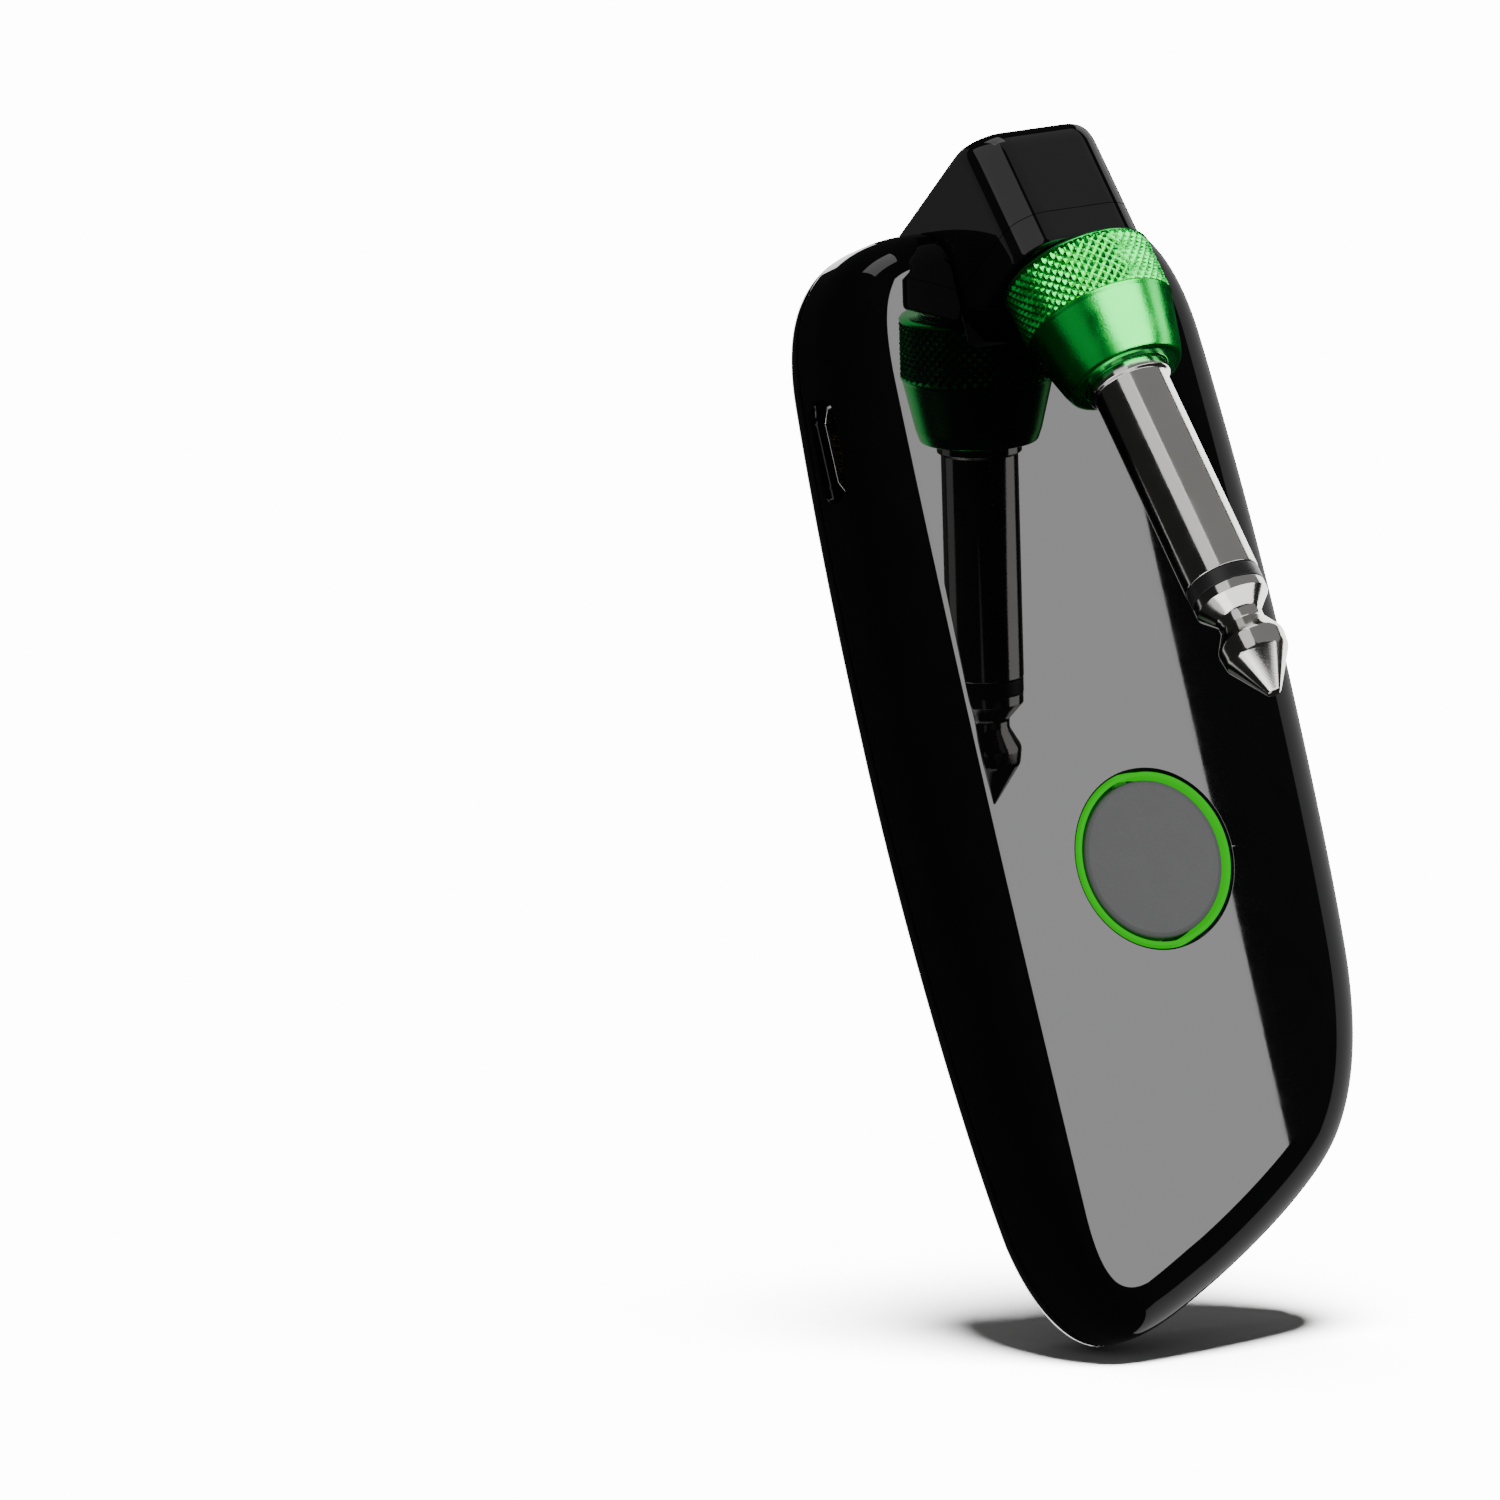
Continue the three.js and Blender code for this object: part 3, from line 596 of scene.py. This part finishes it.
def socket_outline(grow):
    side, wide = 1.3 + grow, 3.75 + grow
    y, z = PORT
    return filleted(
        [
            (y - side, z - wide, 0.35),
            (y + 0.2, z - wide, 0.3),
            (y + side, z - wide + 1, 0.3),
            (y + side, z + wide - 1, 0.3),
            (y + 0.2, z + wide, 0.3),
            (y - side, z + wide, 0.35),
        ]
    )


def in_socket(start, end, low, high, middle, half):
    """A block from start to end behind the socket's mouth, low to high in y, half to each side in z."""
    return block(
        (SOCKET_MOUTH + start, PORT[0] + low, middle - half),
        (SOCKET_MOUTH + end, PORT[0] + high, middle + half),
    )


socket = prism(socket_outline(0), "x", SOCKET_MOUTH, SOCKET_MOUTH + SOCKET_DEPTH)
cut(socket, prism(socket_outline(-SOCKET_SHEET), "x", SOCKET_MOUTH - 1, SOCKET_MOUTH + 4.9))
finish(socket, "socket_shell", HOUSING, "nickel", "housing", "charging_socket_shell", bevel=0.06)
tongue = in_socket(0.7, 4.7, -0.35, 0.25, PORT[1], 2.0)
finish(tongue, "socket_tongue", HOUSING, "black_plastic", "housing", "charging_socket_tongue", bevel=0.1)
for i in range(CONTACTS):
    z = PORT[1] + (i - CONTACTS // 2) * CONTACT_PITCH
    contact = in_socket(0.9, 4.4, 0.25, 0.33, z, 0.17)
    finish(contact, f"socket_contact_{i + 1}", HOUSING, "brass", "housing")

# The pairing key in the right side, with a flange behind the wall.
pair = prism(pill_points(*PAIR_KEY, PAIR), "x", 15.9, 18.15)
combine(pair, "UNION", prism(pill_points(*PAIR_FLANGE, PAIR), "x", 15.3, 16.0))
finish(
    pair, "key_pairing", HOUSING, "black_plastic", "pairing_key", "pairing_button", bevel=0.3, segments=4
)

# ---- Printing on the back ----
INK_LOW = HALF - 3 * PRINT  # the ink starts inside the shell, and stands proud of it by PRINT
LINE = 0.28


def band(points, width=LINE, closed=False):
    """A printed line of one width through points in x and z on the back face."""
    points = [Vector(p) for p in points]
    count = len(points)
    verts, faces = [], []
    for i, point in enumerate(points):
        before = points[i - 1] if closed or i else point
        after = points[(i + 1) % count] if closed or i + 1 < count else point
        along = (after - before).normalized()
        across = Vector((along.y, -along.x)) * width / 2
        for place in (point - across, point + across):
            verts += [(place.x, INK_LOW, place.y), (place.x, HALF, place.y)]
    for i in range(count if closed else count - 1):
        a, b = 4 * i, 4 * ((i + 1) % count)
        faces += [(a, b, b + 1, a + 1), (a + 2, a + 3, b + 3, b + 2)]
        faces += [(a + 1, b + 1, b + 3, a + 3), (a, a + 2, b + 2, b)]
    if not closed:
        end = 4 * (count - 1)
        faces += [(0, 1, 3, 2), (end, end + 2, end + 3, end + 1)]
    return new_object("band", verts, faces)


def printed(name, *pieces):
    """One printed mark, made of one or more bands or plates."""
    first = pieces[0]
    made = bmesh.new()
    for piece in pieces:
        made.from_mesh(piece.data)
    made.to_mesh(first.data)
    made.free()
    for piece in pieces[1:]:
        bpy.data.objects.remove(piece)
    finish(first, name, HOUSING, "housing_gloss", "housing", material="print_white")


def plate(points):
    return prism(points, "y", INK_LOW, HALF)


# A battery's outline round the four lamps.
battery = filleted([(-2.6, 7.0, 0.8), (2.6, 7.0, 0.8), (2.6, -6.3, 0.8), (-2.6, -6.3, 0.8)])
pole = plate([(-1.1, 7.45), (1.1, 7.45), (1.1, 7.15), (-1.1, 7.15)])
printed("print_battery", band(battery, closed=True), pole)

# Three waves over a dot.
WAVES = (9.6, 31.6)
waves = [band(arc(WAVES, radius, 40, 140), 0.3) for radius in (1.2, 2.2, 3.2)]
printed("print_radio", *waves, plate(circle(0.42, WAVES, 20)))

BOLT = [
    (-10.3, 33.2),
    (-12.0, 30.2),
    (-10.6, 30.2),
    (-11.4, 27.9),
    (-8.9, 31.1),
    (-10.3, 31.1),
    (-9.5, 33.2),
]
printed("print_charging", band(BOLT, 0.25, closed=True))

# A guitar's outline, mirrored about its middle, and its sound hole.
GUITAR = [
    (0.5, -16.8),
    (0.5, -22.4),
    (1.9, -22.0),
    (3.6, -22.5),
    (4.2, -24.2),
    (3.5, -25.8),
    (3.6, -27.2),
    (4.9, -28.8),
    (4.9, -30.8),
    (3.2, -32.3),
    (0, -32.8),
]
halves = GUITAR + [(-x, z) for x, z in reversed(GUITAR[:-1])]
rounded = filleted([(x, z, 0.9) for x, z in halves], steps=4)
guitar = [p for i, p in enumerate(rounded) if i == 0 or math.dist(p, rounded[i - 1]) > 0.05]
sound_hole = arc((0, -28.6), 1.1, 0, 345, 20)
printed("print_guitar", band(guitar, closed=True), band(sound_hole, closed=True))

# ---- Folding arm ----
FRONT = -PLUG_OFFSET - 3.8
SPLIT = -BARREL + 1.8
SPLIT_GAP = 0.03  # half of the line between the arm's two shells
DEEP = -BARREL - 1.1  # the underside at the plug's end
STEP_Y = -6.9
PLAN_ROUND = 3.0
EDGE_ROUND = 0.5
ARM_WALL = 1.5
FAR = 20  # past any side of the arm


def rounding(x, radius):
    """How far an edge rounded by radius falls back at x across the arm."""
    over = max(0.0, abs(x) - (ARM_HALF - radius))
    return radius - math.sqrt(max(0.0, radius * radius - over * over))


def arm_section(x):
    """The arm's side profile at x. Its end is rounded in plan, and its side edges a little."""
    edge = rounding(x, EDGE_ROUND)
    front = FRONT + rounding(x, PLAN_ROUND) + edge
    low, deep, high = -BARREL + edge, DEEP + edge, BARREL - edge
    leg = filleted(
        [
            (0, low, 0),
            (STEP_Y + edge + 0.4, low, 0.4),
            (STEP_Y + edge, deep, 0.5),
            (front, deep, 0.5),
            (front, high, 2.6),
            (0, high, 0),
        ],
        steps=12,
    )
    turns = [math.pi / 2 - math.pi * i / 48 for i in range(49)]
    barrel = [((BARREL - edge) * math.cos(t), (BARREL - edge) * math.sin(t)) for t in turns]
    return leg[:-1] + barrel[:-1]


def arm_block():
    """Sections across the arm, closest together where the edges are round."""
    angles = [math.pi * i / 28 for i in range(15)]
    places = {round(ARM_HALF - PLAN_ROUND + PLAN_ROUND * math.sin(a), 4) for a in angles}
    places |= {round(ARM_HALF - EDGE_ROUND + EDGE_ROUND * math.sin(a), 4) for a in angles[::2]}
    places = sorted(places)
    apart = [places[0]] + [b for a, b in zip(places, places[1:]) if b - a > 0.008]
    if apart[-1] < ARM_HALF:
        apart[-1] = ARM_HALF
    stations = [-x for x in reversed(apart)] + apart
    return skinned("arm", [[(x, y, z) for y, z in arm_section(x)] for x in stations])


def arm_part(name, node, low, high):
    """The arm from low to high in z, less its hollow, the lead's way and the two bores."""
    inner = BARREL - ARM_WALL
    obj = keep(arm_block(), block((-FAR, -2 * FAR, low), (FAR, FAR, high)))
    cut(
        obj,
        block((-4.4, FRONT + 0.9, -inner), (4.4, -9.4, inner)),
        block((-2.2, -10, -1.4), (2.2, 0, 2.2)),
        prism(circle(2.2, (0, 0), 32), "x", -FAR, FAR),
        prism(circle(2.05, (0, -PLUG_OFFSET), 48), "z", -FAR, 0),
    )
    for side in (-1, 1):
        recess = sorted((side * (ARM_HALF - 0.4), side * FAR))
        cut(obj, prism(circle(3.8, (0, 0), 48), "x", *recess))
    finish(obj, name, ARM, "housing_gloss", "arm", node)


arm_part("arm_shell_gloss", "arm_shell", SPLIT + SPLIT_GAP, FAR)
arm_part("arm_underplate_gloss", "arm_underplate", -FAR, SPLIT - SPLIT_GAP)

# ---- Plug ----
# Its profiles are (radius, z, rounding), with z from the nut's mouth.
SLEEVE = 3.175
COLLAR = 3.5
STEM = 1.9
STEM_TOP = SHOULDER_DROP - 2.3
CORE = 1.4
ROD = 0.85
NUT_REAR = 10.75

sleeve = filleted(
    [
        (CORE, -19.7, 0),
        (SLEEVE, -19.7, 0.12),
        (SLEEVE, -0.95, 0.1),
        (COLLAR, -0.8, 0.12),
        (COLLAR, 9.6, 0.1),
        (STEM, 9.7, 0),
        (STEM, STEM_TOP, 0.1),
        (CORE, STEM_TOP, 0),
    ]
)
finish(lathe(sleeve, 128), "plug_sleeve_nickel", PLUG, "nickel", "arm", "plug_sleeve")

insulator = filleted(
    [
        (ROD + 0.05, -21.0, 0),
        (3.14, -21.0, 0.08),
        (3.14, -19.75, 0.08),
        (CORE - 0.05, -19.75, 0),
        (CORE - 0.05, STEM_TOP + 0.5, 0),
        (ROD + 0.05, STEM_TOP + 0.5, 0),
    ]
)
finish(lathe(insulator, 128), "plug_insulator_black", PLUG, "black_plastic", "arm", "plug_insulator")

tip = filleted(
    [
        (0, -30.5, 0),
        (0.55, -30.5, 0.35),
        (2.72, -27.0, 1.1),
        (2.86, -25.6, 0.9),
        (1.9, -24.0, 0.8),
        (1.9, -23.2, 0.6),
        (2.6, -22.4, 0.2),
        (3.1, -21.85, 0.12),
        (3.1, -21.05, 0.05),
        (ROD, -21.05, 0),
        (ROD, STEM_TOP + 1.4, 0.1),
        (0, STEM_TOP + 1.4, 0),
    ],
    steps=8,
)
finish(lathe(tip, 128), "plug_tip_nickel", PLUG, "nickel", "arm", "plug_tip")

WASHER_TOP = SHOULDER_DROP + DEEP - 0.1
washer = [(2.05, 10.9, 0), (4.8, 10.9, 0.12), (4.8, WASHER_TOP, 0.12), (2.05, WASHER_TOP, 0)]
finish(lathe(filleted(washer), 128), "washer_nickel", PLUG, "nickel", "arm", "nut_washer")

# The nut's knurl: two families of helical grooves leave rows of small pyramids with flat tops.
TEETH = 48
KNURL_LOW, KNURL_HIGH = 5.55, 10.35
KNURL_DEPTH = 0.26
KNURL_FADE = 0.2
KNURL_ROWS = 44
FLAT_FROM = 0.82
NUT_RADIUS = 6.35


def knurl(angle, radius, z):
    if radius < NUT_RADIUS - 0.05 or not KNURL_LOW <= z <= KNURL_HIGH:
        return radius
    pitch = 2 * math.pi * NUT_RADIUS / TEETH
    around = TEETH * angle / (2 * math.pi)

    def groove(t):
        return 1 - abs(2 * (t % 1.0) - 1)

    height = min(groove(around + z / pitch), groove(around - z / pitch), FLAT_FROM) / FLAT_FROM
    fade = min(1, (z - KNURL_LOW) / KNURL_FADE, (KNURL_HIGH - z) / KNURL_FADE)
    return radius - KNURL_DEPTH * (1 - height) * max(0.0, fade)


NUT_BORE, NUT_STEM_BORE = 3.6, 2.5
rounded_rear = ((5.8, 0), (6.0, 0.04), (6.2, 0.16), (6.32, 0.3))
nut = [(NUT_STEM_BORE, NUT_REAR)] + [(radius, NUT_REAR - drop) for radius, drop in rounded_rear]
for i in range(KNURL_ROWS + 1):
    nut.append((NUT_RADIUS, KNURL_HIGH - (KNURL_HIGH - KNURL_LOW) * i / KNURL_ROWS))
nut += filleted(
    [
        (NUT_RADIUS, 5.5, 0.12),
        (6.18, 5.2, 0.2),
        (5.2, 1.1, 0.9),
        (4.85, 0.12, 0.5),
        (4.4, 0.0, 0.2),
        (NUT_BORE, 0.0, 0.15),
        (NUT_BORE, 9.9, 0),
        (NUT_STEM_BORE, 9.9, 0),
    ]
)
finish(lathe(nut, 384, knurl), "nut_knurled_green", PLUG, "anodised_green", "nut", "knurled_nut")

# ---- Camera, at the photograph's angle ----
RIGHT = Vector((0.833, -0.5075, -0.2206)).normalized()
ROUGHLY_UP = Vector((0.1374, -0.1964, 0.9708)).normalized()
BACK = RIGHT.cross(ROUGHLY_UP).normalized()
UP = BACK.cross(RIGHT)
SENSOR = 36
DISTANCE = 1500.0
FRAME_WIDTH = 122.15  # what the frame takes in at that distance
CENTRE = Vector((-5.3, 0, 0))  # the point in front of the lens
OFF_CENTRE = (23.6, -4.07)  # where that point stands in the frame, from its middle

camera_data = bpy.data.cameras.new("camera")
camera_data.sensor_width = SENSOR
camera_data.lens = SENSOR * DISTANCE / FRAME_WIDTH
camera_data.shift_x = -OFF_CENTRE[0] / FRAME_WIDTH
camera_data.shift_y = -OFF_CENTRE[1] / FRAME_WIDTH
camera_data.clip_start = 0.01
camera = bpy.data.objects.new("camera", camera_data)
bpy.context.scene.collection.objects.link(camera)
facing = Matrix((RIGHT, UP, BACK)).transposed().to_4x4()
camera.matrix_world = Matrix.Translation(HOUSING @ (CENTRE + BACK * DISTANCE)) @ facing
bpy.context.scene.camera = camera

# ---- Floor, world and lights ----
# The floor lies level in the picture and fades away at its rim into the white surround.
FLOOR_LEAN = math.radians(8.5)
LEVEL = (UP * math.cos(FLOOR_LEAN) + BACK * math.sin(FLOOR_LEAN)).normalized()
UPRIGHT = LEVEL.to_track_quat("Z", "Y").to_matrix().to_4x4()
FLOOR_RADIUS = 0.2  # metres, as are the distances of its fading rim
FADE_FROM, FADE_TO = 0.05, 0.1
FLOOR_DROP = 0.0002
FLOOR_GREY = 0.28

# The surround's strengths: as seen, as it lights the object, and as glossy surfaces mirror it.
WHITE = 14.0
SOFT_LIGHT = 0.35
REFLECTED = 0.02

SHELL_NAMES = ("shell_front_gloss", "shell_back_gloss")
shell_points = (v.co for name in SHELL_NAMES for v in bpy.data.objects[name].data.vertices)
lowest = min(shell_points, key=lambda place: place.dot(LEVEL))
rim = circle(FLOOR_RADIUS, count=96)
floor = new_object("floor", [(*p, 0) for p in rim], [tuple(range(len(rim)))])
floor.matrix_world = Matrix.Translation(lowest - LEVEL * FLOOR_DROP) @ UPRIGHT


def fade_out(mat):
    """Clears the material away from its object's middle, and on its back."""
    tree = mat.node_tree
    link = tree.links.new

    def node(kind, **settings):
        made = tree.nodes.new(f"ShaderNode{kind}")
        for setting, value in settings.items():
            setattr(made, setting, value)
        return made

    length = node("VectorMath", operation="LENGTH")
    fade = node("MapRange", interpolation_type="SMOOTHSTEP")
    fade.inputs["From Min"].default_value = FADE_FROM
    fade.inputs["From Max"].default_value = FADE_TO
    fade.inputs["To Min"].default_value = 1.0
    fade.inputs["To Max"].default_value = 0.0
    front = node("Math", operation="SUBTRACT")
    front.inputs[0].default_value = 1.0
    shown = node("Math", operation="MULTIPLY")
    mixed = node("MixShader")
    shader = tree.nodes["Principled BSDF"]
    shader.inputs["Specular IOR Level"].default_value = 0.0
    link(node("TexCoord").outputs["Object"], length.inputs[0])
    link(length.outputs["Value"], fade.inputs["Value"])
    link(node("NewGeometry").outputs["Backfacing"], front.inputs[1])
    link(fade.outputs["Result"], shown.inputs[0])
    link(front.outputs["Value"], shown.inputs[1])
    link(shown.outputs["Value"], mixed.inputs["Fac"])
    link(node("BsdfTransparent").outputs["BSDF"], mixed.inputs[1])
    link(shader.outputs["BSDF"], mixed.inputs[2])
    link(mixed.outputs["Shader"], tree.nodes["Material Output"].inputs["Surface"])


pale = surface("floor_white", (FLOOR_GREY, FLOOR_GREY, FLOOR_GREY), 0.7, tone=0.01, spread=0.02)
fade_out(pale)
floor.data.materials.append(pale)
floor.visible_glossy = False
floor.visible_diffuse = False

world = bpy.data.worlds.new("studio")
bpy.context.scene.world = world
world.use_nodes = True
tree = world.node_tree
tree.nodes.clear()


def background(strength):
    node = tree.nodes.new("ShaderNodeBackground")
    node.inputs["Color"].default_value = (1, 1, 1, 1)
    node.inputs["Strength"].default_value = strength
    return node.outputs["Background"]


def choose(ray, otherwise, chosen):
    node = tree.nodes.new("ShaderNodeMixShader")
    tree.links.new(path.outputs[ray], node.inputs["Fac"])
    tree.links.new(otherwise, node.inputs[1])
    tree.links.new(chosen, node.inputs[2])
    return node.outputs["Shader"]


path = tree.nodes.new("ShaderNodeLightPath")
lighting = choose("Is Glossy Ray", background(SOFT_LIGHT), background(REFLECTED))
sky = choose("Is Camera Ray", lighting, background(WHITE))
tree.links.new(sky, tree.nodes.new("ShaderNodeOutputWorld").inputs["Surface"])


def group(name, *pieces):
    """The pieces that a light reaches, when it is given this group."""
    made = bpy.data.collections.new(name)
    for piece in pieces:
        made.objects.link(bpy.data.objects[piece])
    return made


METAL = group(
    "lit_metal",
    "plug_sleeve_nickel",
    "plug_tip_nickel",
    "plug_insulator_black",
    "washer_nickel",
    "socket_shell",
)
ARM_SHELLS = group("lit_arm", "arm_shell_gloss", "arm_underplate_gloss")
NUT = group("lit_nut", "nut_knurled_green")
SHELLS = group("lit_shells", *SHELL_NAMES, "key_power", "key_pairing")
GROUND = group("lit_floor", "floor")


def rectangle(name, centre, out, upright, width, height, radiance, lit=None):
    """An even area light in the housing's frame, in mm. out points from the object to the light."""
    data = bpy.data.lights.new(name, "AREA")
    data.shape = "RECTANGLE"
    data.size, data.size_y = width / 1000, height / 1000
    data.energy = radiance * math.pi * data.size * data.size_y
    obj = bpy.data.objects.new(name, data)
    bpy.context.scene.collection.objects.link(obj)
    out = Vector(out).normalized()
    across = Vector(upright).cross(out).normalized()
    facing = Matrix((across, out.cross(across), out)).transposed().to_4x4()
    obj.matrix_world = Matrix.Translation(HOUSING @ Vector(centre)) @ facing
    obj.visible_camera = False
    if lit:
        obj.light_linking.receiver_collection = lit


PLUG_UP = LEAN.to_3x3() @ Vector((0, 0, 1))
PLUG_NEAR = (BACK - PLUG_UP * BACK.dot(PLUG_UP)).normalized()
PLUG_RIGHT = PLUG_UP.cross(PLUG_NEAR)
PLUG_MIDDLE = SHOULDER - PLUG_UP * 12


def spanning(name, middle, near, right, up, distance, turns, rises, radiance, lit):
    """A light that fills a span of degrees to the right of near, and a span of degrees above it."""
    turn, rise = (math.radians(sum(span) / 2) for span in (turns, rises))
    out = (near * math.cos(turn) + right * math.sin(turn)) * math.cos(rise) + up * math.sin(rise)
    width, height = (2 * distance * math.tan(math.radians(b - a) / 2) for a, b in (turns, rises))
    rectangle(name, middle + out * distance, out, up, width, height, radiance, lit)


def around_plug(name, turns, rises, radiance, lit):
    axes = (PLUG_NEAR, PLUG_RIGHT, PLUG_UP)
    spanning(name, PLUG_MIDDLE, *axes, 400, turns, rises, radiance, lit)


def around_view(name, turns, rises, radiance, lit):
    spanning(name, Vector((0, 0, 0)), BACK, RIGHT, UP, 500, turns, rises, radiance, lit)


# The panel that the front face mirrors: its right edge is the straight edge of the reflection.
PANEL_LEFT, PANEL_RIGHT = 61, 136.9
PANEL_LOW, PANEL_HIGH = -62, 145
PANEL_Y = -206.65
rectangle(
    "panel_front",
    ((PANEL_LEFT + PANEL_RIGHT) / 2, PANEL_Y, (PANEL_LOW + PANEL_HIGH) / 2),
    (0, -1, 0),
    (0, 0, 1),
    PANEL_RIGHT - PANEL_LEFT,
    PANEL_HIGH - PANEL_LOW,
    6.4,
    SHELLS,
)
around_plug("metal_key", (-24, 12), (-25, 60), 1.05, METAL)
around_plug("metal_mid", (13, 108), (-25, 60), 0.24, METAL)
around_plug("metal_edge", (122, 175), (-20, 60), 3.5, METAL)
around_plug("metal_line", (-112, -100), (-20, 60), 0.5, METAL)
around_plug("metal_under", (-40, 80), (-80, -45), 2.5, METAL)
around_plug("metal_under_left", (-120, -45), (-80, -45), 1.0, METAL)
around_plug("arm_front", (36, 92), (-25, 60), 0.4, ARM_SHELLS)
around_plug("arm_edge", (112, 150), (-20, 50), 0.8, ARM_SHELLS)
around_plug("arm_corner", (-60, 20), (-25, 60), 0.9, ARM_SHELLS)
around_plug("arm_side", (-135, -95), (-25, 60), 0.18, ARM_SHELLS)
around_plug("nut_key", (8, 78), (-35, 55), 5.5, NUT)
around_plug("nut_edge", (95, 116), (-30, 60), 2.5, NUT)
around_plug("nut_fill", (-60, -20), (-30, 60), 0.3, NUT)
around_view("shell_edge", (100, 165), (-50, 50), 0.5, SHELLS)

# Soft light for the other sides.
rectangle("back_panel", (250, 600, 120), (0.35, 0.9, 0.15), (0, 0, 1), 160, 500, 3.0, SHELLS)
rectangle("overhead", (0, -60, 600), (0, -0.1, 1), (0, 1, 0), 300, 300, 1.5)

# A sun that lights only the floor makes it as white as its surround, with what the other lights add.
OTHER_LIGHT = 0.25
sun = bpy.data.objects.new("floor_light", bpy.data.lights.new("floor_light", "SUN"))
bpy.context.scene.collection.objects.link(sun)
sun.data.energy = (WHITE - OTHER_LIGHT) * math.pi / FLOOR_GREY
sun.data.angle = math.radians(22)
sun.matrix_world = UPRIGHT
sun.light_linking.receiver_collection = GROUND
